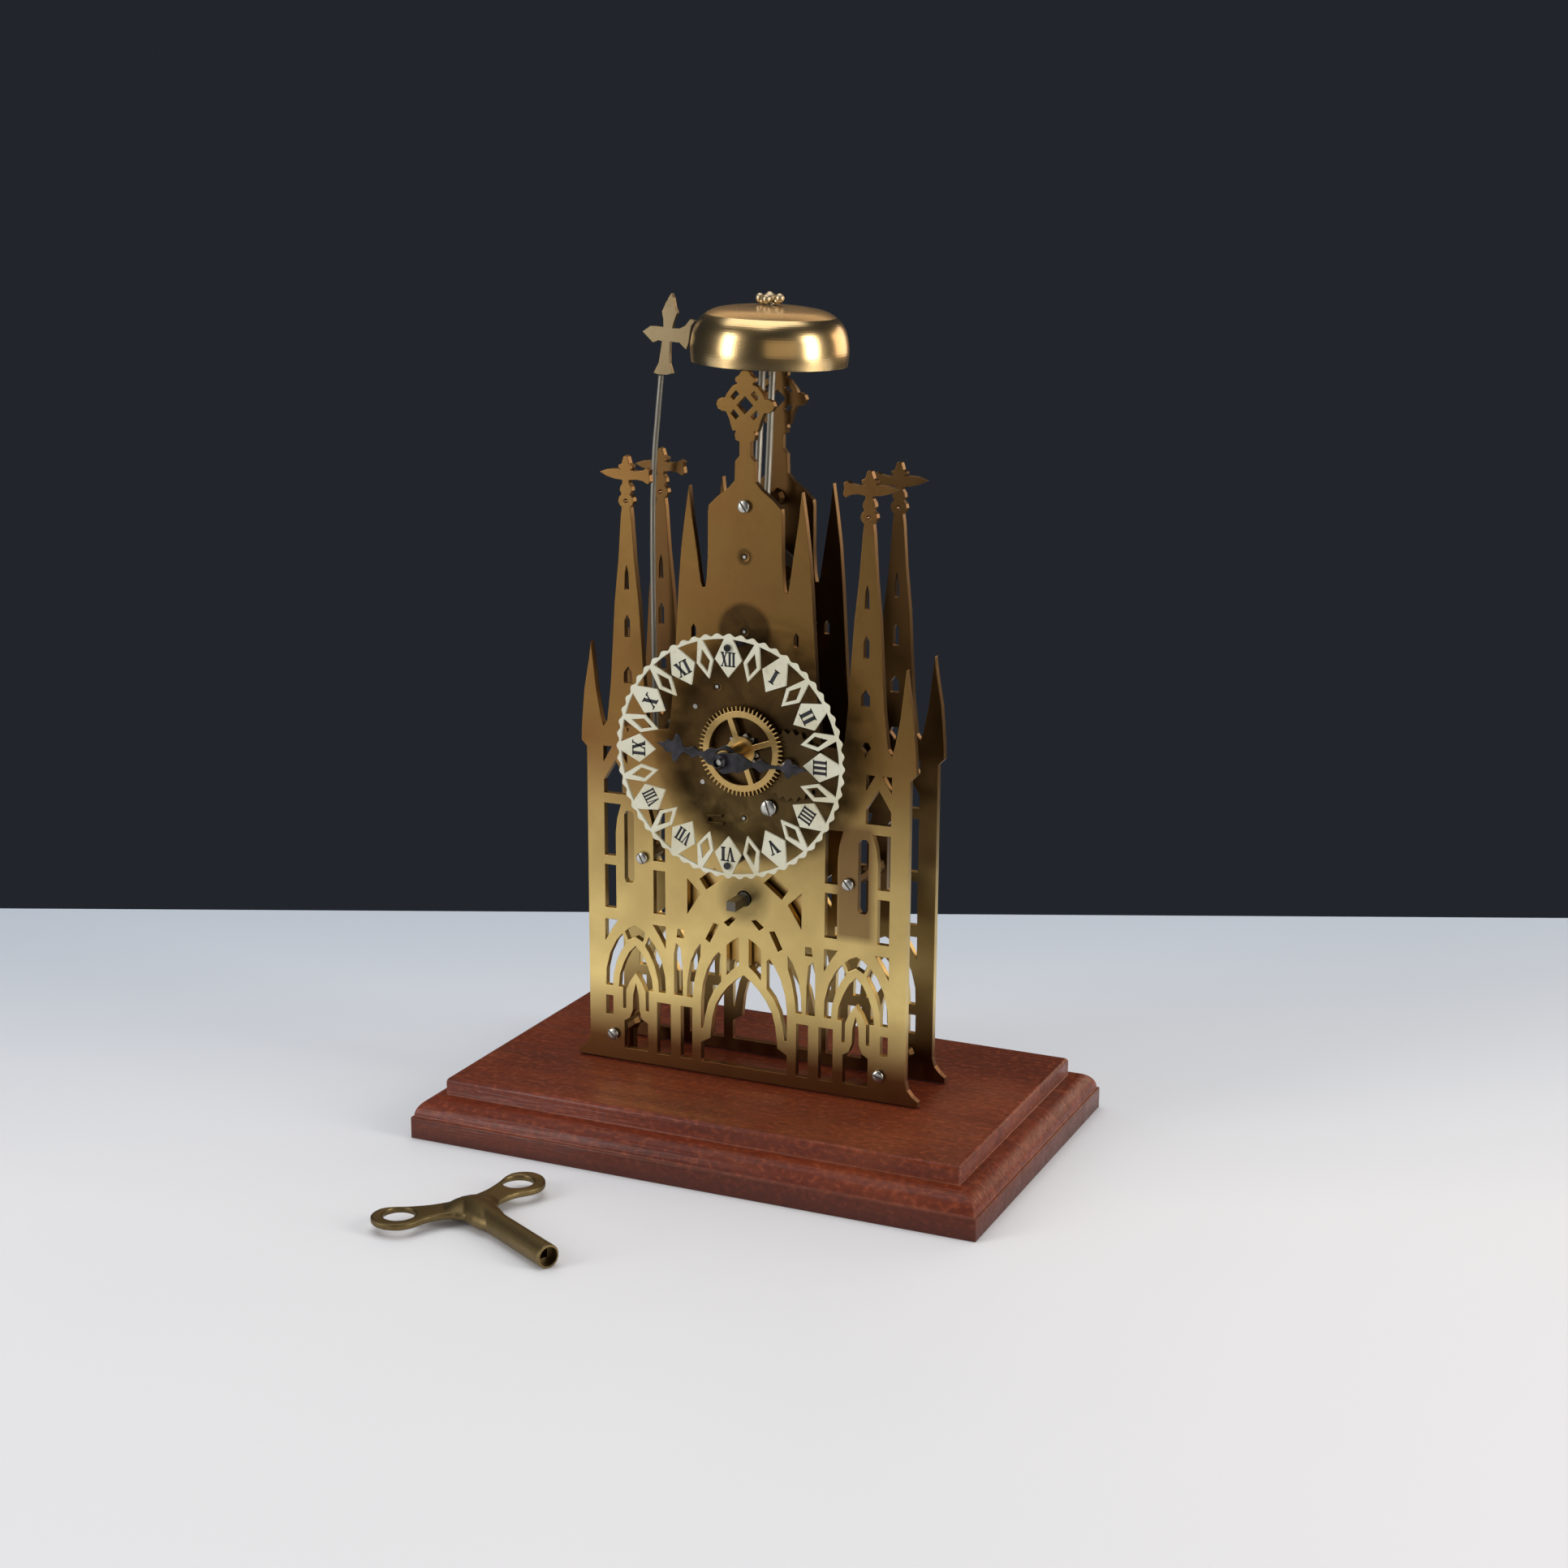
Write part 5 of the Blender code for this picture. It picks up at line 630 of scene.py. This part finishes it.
def plate_round_holes(name):
    """Centres and radii of a plate's round holes, from what passes through them."""
    pivot = (0.85 if name == "front_plate" else 1.45) * MM
    places = [(middle_of("front_screw_" + pillar), 1.3 * MM) for pillar in PILLARS]
    places += [(JOINTS[joint], pivot) for joint in PIVOTS]
    places += [(CENTRE, 1.45 * MM), (BARREL, 2.65 * MM)]
    return [(place.x, place.z, radius) for place, radius in places]


def plates():
    """Both fretted plates, with every window of the photograph's front."""
    outline = scaled([*OUTLINE, *mirrored(OUTLINE[:-1])])
    holes = [[*ARCH, *mirrored(ARCH[:-1])], circle(*FINIAL_EYE, 4)]
    for window in WINDOWS:
        holes += [list(window), mirrored(window)]
    for window in TWIN_WINDOWS:
        twin = mirrored(window, ARCH_MIDDLE)
        holes += [list(window), mirrored(window), twin, mirrored(twin)]
    x, z, radius = SPIRE_RING
    holes += [circle(x, z, radius, 12), circle(-x, z, radius, 12)]
    holes = [scaled(points) for points in holes]
    for name in ("front_plate", "rear_plate"):
        low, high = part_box(name)
        own = holes + [circle(*hole) for hole in plate_round_holes(name)]
        item = sheet(name + "_fine", outline, own, low.y, high.y, PLATE_EASE)
        finish_piece(item, "frame", "plate_brass", [name])


def quarter_round(reach, rise, steps):
    """The insets and rises that climb a quarter of an ellipse."""
    angles = [math.pi / 2 * step / steps for step in range(steps + 1)]
    return [
        (reach * (math.cos(start) - math.cos(end)), rise * (math.sin(end) - math.sin(start)))
        for start, end in zip(angles, angles[1:])
    ]


def base():
    """The moulded base with a smooth quarter round and softened edges."""
    low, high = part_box("base")
    width, depth, height = high - low
    plinth = 7.4 * MM
    ovolo_reach = 7.0 * MM
    ovolo_rise = 6.2 * MM
    ledge = 0.8 * MM
    fillet = 1.0 * MM
    rounding = 1.5 * MM
    solid = bmesh.new()
    size = Matrix.Diagonal((width, depth, plinth, 1.0))
    bmesh.ops.create_cube(solid, size=1.0, matrix=Matrix.Translation((0, 0, plinth / 2)) @ size)
    rises = [(ledge, 0), *quarter_round(ovolo_reach, ovolo_rise, 12), (fillet, 0)]
    rises += [(0, height - plinth - ovolo_rise - rounding), *quarter_round(rounding, rounding, 5)]
    for inset, rise in rises:
        height_of = {face: round(face.calc_center_median().z / WELD) for face in solid.faces}
        top = max(solid.faces, key=lambda face: (height_of[face], face.calc_area()))
        if inset:
            bmesh.ops.inset_region(solid, faces=[top], thickness=inset, depth=rise, use_even_offset=True)
        else:
            raised = bmesh.ops.extrude_face_region(solid, geom=[top])
            corners = [part for part in raised["geom"] if isinstance(part, bmesh.types.BMVert)]
            bmesh.ops.translate(solid, verts=corners, vec=(0, 0, rise))
            bmesh.ops.delete(solid, geom=[top], context="FACES")
    item = piece_from("base_moulding", solid)
    soften = item.modifiers.new("worn edges", "BEVEL")
    soften.width = WOOD_EASE
    soften.segments = 3
    soften.angle_limit = math.radians(28)
    finish_piece(settle(item, WOOD_CREASE), "frame", "mahogany", ["base"])


def smooth_run(points, steps=6):
    """A smooth curve through the points, with so many steps between each two."""
    run = []
    knots = [Vector(point) for point in (points[0], *points, points[-1])]
    for before, start, end, after in zip(knots, knots[1:], knots[2:], knots[3:]):
        for step in range(steps):
            share = step / steps
            spot = 0.5 * (
                2 * start + (end - before) * share + (2 * before - 5 * start + 4 * end - after) * share ** 2
                + (3 * start - before - 3 * end + after) * share ** 3
            )
            run.append(tuple(spot))
    run.append(tuple(points[-1]))
    return run


BELL_LEAN = math.radians(2)
# Points down the bell's outside, as shares of its radius and height
BELL_SHARES = (
    (0.05, 1), (0.28, 0.995), (0.5, 0.97), (0.71, 0.91), (0.87, 0.77), (0.96, 0.56), (0.998, 0.26),
    (0.985, 0),
)


def bell():
    """The bell, turned smooth, with its rounded shoulder and rim."""
    low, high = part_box("bell")
    middle = middle_of("bell")
    radius = (high.x - low.x) / 2
    rise = high.z - low.z
    wall = 1.3 * MM
    bore = 1.0 * MM
    outer = smooth_run([(radius * across, low.z + rise * up) for across, up in BELL_SHARES])
    inner = []
    for x, z in reversed(outer):
        thin = wall * min(1, (z - low.z) / rise * 2)
        inner.append((max(x - wall, bore), max(z - thin, low.z)))
    item = turned("bell_fine", outer + inner, middle.x, middle.y, 96, closed=True, upright=True, ease=0)
    hub = Matrix.Translation((middle.x, middle.y, low.z + 3 * MM))
    item.data.transform(hub @ Matrix.Rotation(BELL_LEAN, 4, "Y") @ hub.inverted())
    finish_piece(item, "frame", "bell_brass", ["bell"])


def lobe(solid, place, size):
    """An ellipsoid added to a mesh, with its half sizes along X, Y and Z."""
    matrix = Matrix.Translation(place) @ Matrix.Diagonal((*size, 1.0))
    bmesh.ops.create_uvsphere(solid, u_segments=20, v_segments=12, radius=1.0, matrix=matrix)


def bell_flower():
    """The nut on the bell: a turned collar under a small cast flower."""
    low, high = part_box("bell_nut")
    middle = middle_of("bell_nut")
    deep = (high.y - low.y) / 2
    collar = deep * 0.95
    profile = [
        (0, low.z), (collar, low.z), (collar, low.z + 0.5 * MM), (collar * 0.7, low.z + 1.0 * MM),
        (collar * 0.45, low.z + 1.4 * MM), (collar * 0.4, low.z + 2.2 * MM), (0, low.z + 2.4 * MM),
    ]
    item = turned("bell_collar", profile, middle.x, middle.y, upright=True)
    finish_piece(item, "frame", "plate_brass", ["bell_nut"], CAST_BRASS)
    heart = Vector((middle.x, middle.y, low.z + 2.0 * MM))
    side_reach = (high.x - low.x) / 2 * 1.15 / MM
    front_reach = deep * 1.25 / MM
    petals = [((0, 0, 0), (2.1, 1.8, 1.7))]
    for side in (-1, 1):
        petals += [
            ((side * (side_reach - 1.3), 0, -0.1), (1.5, 1.3, 1.5)),
            ((side * (side_reach - 2.2), 0, -1.0), (1.3, 1.0, 1.0)),
            ((side * 0.4, side * (front_reach - 1.1), -0.4), (1.4, 1.2, 1.4)),
        ]
    petals.append(((0, 0, (high.z - heart.z) / MM - 1.1), (1.35, 1.2, 1.1)))
    solid = bmesh.new()
    for place, size in petals:
        lobe(solid, heart + Vector(place) * MM, Vector(size) * MM)
    finish_piece(piece_from("bell_flower", solid), "frame", "plate_brass", look=PALE_BRASS)


# Places on the hammer's arm: share of its length, and share aside
ARM_SHARES = ((0, 0), (0.32, 0.012), (0.63, 0.019), (0.79, 0.016), (0.89, 0.009), (1, 0))


def hammer_arm():
    """The hammer's slim arm, bent a little, from its hub to the foot of its head."""
    low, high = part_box("hammer_arm")
    head_low, head_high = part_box("hammer_head")
    hammer = JOINTS["hammer_lift"]
    middle = middle_of("hammer_arm")
    deep = (high.y - low.y) / 2 - 0.05 * MM
    wide = 0.95 * MM
    sides = 16
    foot = Vector((hammer.x, hammer.z + 1.2 * MM))
    top = Vector((head_low.x + (head_high.x - head_low.x) * 0.33, head_low.z - 0.35 * MM))
    run = top - foot
    aside = Vector((-run.y, run.x))
    path = smooth_run([tuple(foot + run * far + aside * out) for far, out in ARM_SHARES], 8)
    rim = [(wide * math.cos(angle), middle.y + deep * math.sin(angle)) for angle in turns(sides)]
    solid = bmesh.new()
    loops = [[solid.verts.new((x + across, y, z)) for across, y in rim] for x, z in path]
    for first, second in zip(loops, loops[1:]):
        for step in range(sides):
            after = (step + 1) % sides
            solid.faces.new((first[step], first[after], second[after], second[step]))
    solid.faces.new(loops[0])
    solid.faces.new(loops[-1])
    finish_piece(piece_from("hammer_rod", solid), "hammer", "steel", ["hammer_arm"], ROD_STEEL)
    hub = 2.2 * MM
    bore = 0.8 * MM
    profile = [(bore, low.y), (hub, low.y), (hub, high.y), (bore, high.y)]
    finish_piece(turned("hammer_hub", profile, hammer.x, hammer.z, closed=True), "hammer", "steel")


def bob():
    """The pendulum's lens-shaped bob, turned smooth."""
    low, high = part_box("pendulum_bob")
    middle = middle_of("pendulum_bob")
    radius = (high.x - low.x) / 2
    deep = (high.y - low.y) / 2
    half_rim = 0.3 * MM
    steps = 14
    front = []
    for step in range(steps + 1):
        share = step / steps
        front.append((radius * share, middle.y - (deep - half_rim) * (1 - share ** 2) - half_rim))
    back = [(out, 2 * middle.y - y) for out, y in reversed(front)]
    item = turned("bob_fine", front + back, middle.x, middle.z, 96, ease=0)
    finish_piece(item, "pendulum", "wheel_brass", ["pendulum_bob"])


# Right wing of the key, as shares of half its width and of its length
WING_SHARES = (
    (0, 0.64), (0.16, 0.69), (0.3, 0.765), (0.52, 0.79), (0.72, 0.775), (0.86, 0.795), (0.96, 0.85),
    (1, 0.925), (0.96, 1), (0.84, 1.045), (0.7, 1.04), (0.5, 0.975), (0.28, 0.925), (0, 0.9),
)


def key():
    """The winding key: wings that swell into a round pipe, with its bored mouth and square socket."""
    mouth = (-8.2 * MM, -132.7 * MM, 3.8 * MM)
    lay = Matrix.Translation(mouth) @ Matrix.Rotation(math.radians(61.3), 4, "Z")
    half = 30 * MM
    reach = 56 * MM
    pipe = 3.75 * MM
    length = 43 * MM
    eye = 5.0 * MM
    voxel = 0.32 * MM
    tip_over = Matrix.Rotation(-math.pi / 2, 4, "X")
    right = [(across * half, along * reach) for across, along in smooth_run(WING_SHARES, 5)]
    eyes = [circle(side * (half - eye * 1.75), reach * 0.925, eye, 40) for side in (-1, 1)]
    wings = sheet("wings", right + mirrored(right[1:-1]), eyes, -1.1 * MM, 1.1 * MM, 0.5 * MM)
    wings.data.transform(tip_over)
    solid = bmesh.new()
    solid.from_mesh(wings.data)
    bpy.data.objects.remove(wings, do_unlink=True)
    bmesh.ops.create_cone(
        solid, cap_ends=True, segments=48, radius1=pipe, radius2=pipe * 0.97, depth=length,
        matrix=Matrix.Translation((0, length / 2, 0)) @ tip_over,
    )
    lobe(solid, (0, 39 * MM, 0), (5.6 * MM, 13 * MM, 3.75 * MM))
    lobe(solid, (0, 45 * MM, 0), (9.5 * MM, 6.5 * MM, 3.0 * MM))
    item = linked(piece_from("winding_key", solid))
    cast = item.modifiers.new("cast", "REMESH")
    cast.mode = "VOXEL"
    cast.voxel_size = voxel
    soften = item.modifiers.new("soften", "SMOOTH")
    soften.iterations = 7
    item = settle(item)
    for depth, radius, sides in ((3 * MM, pipe * 0.80, 40), (14 * MM, 2.05 * MM, 4)):
        bore = bmesh.new()
        bmesh.ops.create_cone(
            bore, cap_ends=True, segments=sides, radius1=radius, radius2=radius, depth=depth * 2,
            matrix=tip_over @ Matrix.Rotation(math.pi / 4, 4, "Z"),
        )
        item = cut(item, bore)
    item.data.transform(lay)
    finish_piece(item, "key", "old_brass", ["key"])


# Half widths along each hand, as shares of its length
HAND_SHARES = {
    "minute": (
        (0.1, 0.095), (0.2, 0.107), (0.3, 0.06), (0.37, 0.028), (0.42, 0.05), (0.47, 0.072),
        (0.53, 0.036), (0.6, 0.02), (0.7, 0.022), (0.73, 0.05), (0.76, 0.1), (0.8, 0.096),
        (0.82, 0.048), (0.86, 0.058), (0.9, 0.03), (1, 0),
    ),
    "hour": (
        (0.12, 0.12), (0.22, 0.112), (0.3, 0.05), (0.38, 0.036), (0.46, 0.08), (0.53, 0.04),
        (0.61, 0.046), (0.65, 0.12), (0.69, 0.185), (0.74, 0.175), (0.77, 0.08), (0.84, 0.092),
        (0.89, 0.042), (1, 0),
    ),
}


def hand(which, body, length, angle, bore, hub):
    """One blackened hand, with its round hub and smooth cross-shaped end."""
    low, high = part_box(which + "_hand")
    knots = [(-hub, 0), (-hub * 0.7, hub * 0.7), (0, hub)]
    knots += [(along * length, across * length) for along, across in HAND_SHARES[which]]
    upper = smooth_run(knots, 3)
    turn = Matrix.Rotation(math.radians(angle), 2)
    spots = [turn @ Vector(point) for point in upper + [(x, -z) for x, z in upper[-2:0:-1]]]
    outline = [(CENTRE.x + spot.x, CENTRE.z + spot.y) for spot in spots]
    hole = circle(CENTRE.x, CENTRE.z, bore, 32)
    item = sheet(which + "_hand_fine", outline, [hole], low.y, high.y, 0.15 * MM)
    finish_piece(item, body, "blued_steel", [which + "_hand"])


def slotted_screw(node, angle, rear=False):
    """A screw with a slightly domed head and a slot, in place of a plain one."""
    low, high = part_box(node)
    middle = middle_of(node)
    top, tip, way = (high.y, low.y, -MM) if rear else (low.y, high.y, MM)
    radius = (high.x - low.x) / 2
    shank = radius * 0.5
    under = top + way * 1.3
    profile = [
        (0, top), (radius * 0.55, top + way * 0.06), (radius * 0.9, top + way * 0.22),
        (radius, top + way * 0.5), (radius, under), (shank, under), (shank, tip), (0, tip),
    ]
    place = Matrix.Translation((middle.x, top, middle.z)) @ Matrix.Rotation(math.radians(angle), 4, "Y")
    slot = bmesh.new()
    size = Matrix.Diagonal((radius * 4, 1.3 * MM, radius * 0.28, 1.0))
    bmesh.ops.create_cube(slot, size=1.0, matrix=place @ size)
    item = cut(turned(node + "_fine", profile, middle.x, middle.z), slot)
    finish_piece(item, "frame", "steel", [node])


def screws():
    """All cheese-head screws with their slots, at the angles where they happen to stand."""
    for pillar, angle in zip(PILLARS, (55, 62, 50, 40, 15)):
        slotted_screw("front_screw_" + pillar, angle)
    slotted_screw("lever_screw", 70)
    slotted_screw("minute_stud", 20)
    slotted_screw("cock_screw", 30, rear=True)
    slotted_screw("click_screw", 65, rear=True)


def oil_sinks():
    """The shallow dark cup round each pivot hole of the front plate."""
    bore = 0.9 * MM
    cup = 1.7 * MM
    rim = 1.95 * MM
    proud = 0.10 * MM
    for joint in PIVOTS:
        place = JOINTS[joint]
        profile = [
            (bore, PLATE_FACE + 0.3 * MM), (bore, PLATE_FACE - 0.03 * MM), (cup, PLATE_FACE - proud),
            (rim, PLATE_FACE - proud), (2.0 * MM, PLATE_FACE + 0.2 * MM),
        ]
        item = turned("oil_sink_" + joint.split("_")[0], profile, place.x, place.z, closed=True, ease=0)
        finish_piece(item, "frame", "plate_brass")


# Outline of the small clip, in millimetres
BRACKET = (
    (-13.2, 107.2), (-7.0, 107.2), (-7.0, 108.0), (-12.3, 108.0), (-12.3, 109.4), (-7.6, 109.8),
    (-7.6, 110.6), (-13.2, 110.2),
)


def bracket():
    """The small bent clip on the front plate, below and left of the centre."""
    item = sheet("bracket", scaled(BRACKET), [], PLATE_FACE - 1.1 * MM, PLATE_FACE - 0.02 * MM)
    finish_piece(item, "frame", "plate_brass")


def scallops():
    """The dial's outer edge, with a small bump for each minute."""
    low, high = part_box("dial_ring")
    radius = (high.x - low.x) / 2
    swing = 0.45 * MM
    bumps = 60
    return [
        around(CENTRE, radius - swing + swing * math.cos(bumps * angle), angle) for angle in turns(8 * bumps)
    ]


def dial_spot(radius, across, angle):
    """A point of the dial from its distance out, its distance aside and the direction, in millimetres."""
    return (
        CENTRE.x + MM * (radius * math.sin(angle) + across * math.cos(angle)),
        CENTRE.z + MM * (radius * math.cos(angle) - across * math.sin(angle)),
    )


# Each letter's strokes and width, in hundredths of its height
SERIFS = (pane(-42, -4, 92, 100), pane(12, 42, 92, 100))
STROKES = {
    "I": (pane(-13, 13, 0, 100), pane(-22, 22, 0, 8), pane(-22, 22, 92, 100)),
    "V": (((-36, 100), (-9, 100), (11, 0), (-5, 0)), ((20, 100), (32, 100), (7, 0), (-3, 0)), *SERIFS),
    "X": (
        ((-36, 100), (-9, 100), (36, 0), (9, 0)), ((20, 100), (32, 100), (-20, 0), (-32, 0)), *SERIFS,
        pane(-42, -12, 0, 8), pane(4, 42, 0, 8),
    ),
}
LETTER_WIDTHS = {"I": 46, "V": 84, "X": 84}
NUMERALS = ("XII", "I", "II", "III", "IIII", "V", "VI", "VII", "VIII", "IX", "X", "XI")


def numerals():
    """Roman numerals painted on the twelve cartouches, with their feet to the centre."""
    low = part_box("dial_ring")[0].y
    front = low - 0.04 * MM
    back = low + 0.02 * MM
    foot = 29.5
    height = 4.7
    widest = 5.2
    unit = height / 100
    solid = bmesh.new()
    for angle, text in zip(turns(12), NUMERALS):
        total = sum(LETTER_WIDTHS[letter] for letter in text)
        squeeze = unit * min(1.0, widest / (total * unit))
        start = -total / 2
        for letter in text:
            middle = start + LETTER_WIDTHS[letter] / 2
            start += LETTER_WIDTHS[letter]
            for stroke in STROKES[letter]:
                spots = [
                    dial_spot(foot + up * unit, (middle + across) * squeeze, angle) for across, up in stroke
                ]
                fronts = [solid.verts.new((x, front, z)) for x, z in spots]
                backs = [solid.verts.new((x, back, z)) for x, z in spots]
                solid.faces.new(fronts)
                for number in range(len(spots)):
                    after = (number + 1) % len(spots)
                    solid.faces.new((fronts[number], fronts[after], backs[after], backs[number]))
    finish_piece(piece_from("numerals", solid), "frame", "blued_steel", look=INK)


def dial():
    """The pierced dial with scalloped ring, twelve cartouches and twelve open lozenges."""
    low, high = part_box("dial_ring")
    ring_inner = 38.3
    cartouche = ((ring_inner, -1.5), (31.7, -4.7), (26, 0), (31.7, 4.7), (ring_inner, 1.5))
    lozenge = ((ring_inner, -0.9), (31.5, -3), (26, 0), (31.5, 3), (ring_inner, 0.9))
    window = ((28, 0), (31.5, 1.8), (35.6, 0), (31.5, -1.8))
    count = 24
    inner = []
    holes = []
    for number, angle in enumerate(turns(count)):
        inner += [dial_spot(*spot, angle) for spot in (lozenge if number % 2 else cartouche)]
        inner.append(dial_spot(ring_inner, 0, angle + TURN / count / 2))
        if number % 2:
            holes.append([dial_spot(*spot, angle) for spot in window])
    item = sheet("dial_fine", scallops(), [inner, *holes], low.y, high.y, 0.14 * MM)
    finish_piece(item, "frame", "silvered", ["dial_ring"])


def direction(start, end):
    """The angle from one joint to another in the facade's plane."""
    return math.atan2(end.z - start.z, end.x - start.x)


def tooth_ring(centre, angle, tip, root, teeth, tip_share, root_share):
    """A wheel's outline, whose teeth have half widths given as shares of the pitch, at tip and root."""
    points = []
    step = TURN / teeth
    for tooth in range(teeth):
        for radius, share in ((root, -root_share), (tip, -tip_share), (tip, tip_share), (root, root_share)):
            points.append(around(centre, radius, angle + (tooth + share) * step))
    return points


def spokes(centre, angle, count, inner, outer, width):
    """The openings between a wheel's spokes, with smooth rims."""
    openings = []
    for spoke in turns(count):
        points = []
        for radius, steps, order in ((inner, 5, -1), (outer, 14, 1)):
            slip = math.asin(width / 2 / radius)
            start = angle + spoke + slip
            sweep = TURN / count - 2 * slip
            arc = [around(centre, radius, start + sweep * step / steps) for step in range(steps + 1)]
            points += arc[::order]
        openings.append(points)
    return openings


def hour_wheel():
    """The hour wheel that shows through the dial, with square teeth and four spokes."""
    low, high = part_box("hour_wheel")
    tip = (high.x - low.x) / 2
    thickness = 1.2 * MM
    bore = 2.3 * MM
    pipe = 3.0 * MM
    aim = direction(CENTRE, JOINTS["minute_work_turn"])
    root = tip - 1.5 * MM
    outline = tooth_ring(CENTRE, aim, tip, root, teeth=60, tip_share=0.13, root_share=0.22)
    holes = spokes(CENTRE, math.radians(20), count=4, inner=4.9 * MM, outer=11.2 * MM, width=1.9 * MM)
    holes.append(circle(CENTRE.x, CENTRE.z, bore, 32))
    item = sheet("hour_wheel_fine", outline, holes, high.y - thickness, high.y)
    finish_piece(item, "hour", "wheel_brass", ["hour_wheel"])
    profile = [(pipe, low.y), (pipe, high.y), (bore, high.y), (bore, low.y)]
    finish_piece(turned("hour_pipe", profile, CENTRE.x, CENTRE.z, closed=True), "hour", "wheel_brass")


def barrel():
    """The great wheel with its turned drum."""
    low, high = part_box("barrel")
    cap_low, cap_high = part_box("barrel_cap")
    tip = (high.x - low.x) / 2
    drum = (cap_high.x - cap_low.x) / 2 + 1.7 * MM
    lip = drum - 1.4 * MM
    floor = high.y - 0.6 * MM
    wheel_front = low.y + 0.3 * MM
    wheel_rear = low.y + 2.3 * MM
    bore = 3.6 * MM
    aim = direction(BARREL, JOINTS["second_turn"])
    root = tip - 1.05 * MM
    outline = tooth_ring(BARREL, aim, tip, root, teeth=70, tip_share=0.04, root_share=0.30)
    hole = circle(BARREL.x, BARREL.z, bore, 32)
    wheel = sheet("great_wheel_fine", outline, [hole], wheel_front, wheel_rear)
    finish_piece(wheel, "barrel", "wheel_brass", ["barrel"])
    profile = [
        (bore, wheel_rear), (drum, wheel_rear), (drum, high.y), (lip, high.y), (lip, floor), (bore, floor),
    ]
    item = turned("drum_fine", profile, BARREL.x, BARREL.z, 72, closed=True)
    finish_piece(item, "barrel", "wheel_brass", ["barrel_cap"])


def camera():
    """The camera at the photograph's place and lens."""
    data = bpy.data.cameras.new("camera")
    data.sensor_width = SENSOR
    data.sensor_fit = "HORIZONTAL"
    data.lens = FOCAL_PIXELS / PICTURE_SIDE * SENSOR
    data.clip_start = 0.01
    item = linked(bpy.data.objects.new("camera", data))
    turn = Matrix.Rotation(CAMERA_AZIMUTH, 4, "Z") @ Matrix.Rotation(math.pi / 2 - CAMERA_RISE, 4, "X")
    item.matrix_world = Matrix.Translation(CAMERA_PLACE) @ turn @ Matrix.Rotation(CAMERA_ROLL, 4, "Z")
    bpy.context.scene.camera = item


# Name, place, width and height, power and colour of each lamp
LAMPS = (
    ("overhead", (-0.15, 0.05, 1.25), (1.1, 1.1), 6.0, (1, 1, 1)),
    ("left_panel", (-0.82, -1.01, 0.50), (0.40, 0.95), 7.2, (1, 1, 1)),
    ("front_warm", (0.85, -1.00, 0.45), (1.10, 0.70), 0.9, (1.0, 0.82, 0.56)),
    ("right_panel", (1.25, -0.04, 0.46), (0.38, 0.90), 9.0, (1.0, 0.96, 0.90)),
    ("rear_left", (-0.55, 1.15, 0.95), (0.8, 0.5), 0.9, (1.0, 0.70, 0.38)),
    ("rear_warm", (0.62, 1.22, 0.42), (0.9, 0.6), 3.4, (1.0, 0.80, 0.60)),
)
LAMP_TARGET = Vector((0, 0, 0.13))
SURROUND = (0.0160, 0.0190, 0.0245, 1)
FILL_LIGHT = (0.90, 0.94, 1.0, 1)
FILL_STRENGTH = 0.45


def lamps():
    """Soft lamps that face the clock."""
    for name, place, (wide, tall), power, colour in LAMPS:
        data = bpy.data.lights.new(name, "AREA")
        data.shape = "RECTANGLE"
        data.size = wide
        data.size_y = tall
        data.energy = power
        data.color = colour
        item = linked(bpy.data.objects.new(name, data))
        item.location = place
        item.rotation_euler = (LAMP_TARGET - Vector(place)).to_track_quat("-Z", "Y").to_euler()


def studio():
    """A pale table in a dark surround that still fills the shadows softly."""
    solid = bmesh.new()
    bmesh.ops.create_grid(solid, x_segments=8, y_segments=8, size=0.5)
    bmesh.ops.scale(solid, verts=solid.verts, vec=(TABLE_HALF_WIDTH * 2, TABLE_NEAR + TABLE_FAR, 1))
    table = linked(piece_from("table", solid))
    table.location = Matrix.Rotation(CAMERA_AZIMUTH, 3, "Z") @ Vector((0, (TABLE_FAR - TABLE_NEAR) / 2, 0))
    table.rotation_euler = (0, 0, CAMERA_AZIMUTH)
    table.data.materials.append(table_top())

    world = bpy.data.worlds.new("studio")
    bpy.context.scene.world = world
    world.use_nodes = True
    nodes = world.node_tree.nodes
    links = world.node_tree.links
    seen = fill(nodes["Background"], {"Color": SURROUND})
    unseen = fill(nodes.new("ShaderNodeBackground"), {"Color": FILL_LIGHT, "Strength": FILL_STRENGTH})
    path = nodes.new("ShaderNodeLightPath")
    blend = nodes.new("ShaderNodeMixShader")
    links.new(path.outputs["Is Diffuse Ray"], blend.inputs["Fac"])
    links.new(seen.outputs["Background"], blend.inputs[1])
    links.new(unseen.outputs["Background"], blend.inputs[2])
    links.new(blend.outputs["Shader"], nodes["World Output"].inputs["Surface"])
    bpy.context.scene.view_settings.view_transform = "Standard"


carried_nodes()
camera()
lamps()
studio()
plates()
base()
bell()
bell_flower()
hammer_arm()
bob()
key()
hand("minute", "centre", length=30.0 * MM, angle=0, bore=1.1 * MM, hub=2.75 * MM)
hand("hour", "hour", length=24.2 * MM, angle=172.5, bore=3.3 * MM, hub=4.66 * MM)
screws()
oil_sinks()
bracket()
dial()
numerals()
hour_wheel()
barrel()
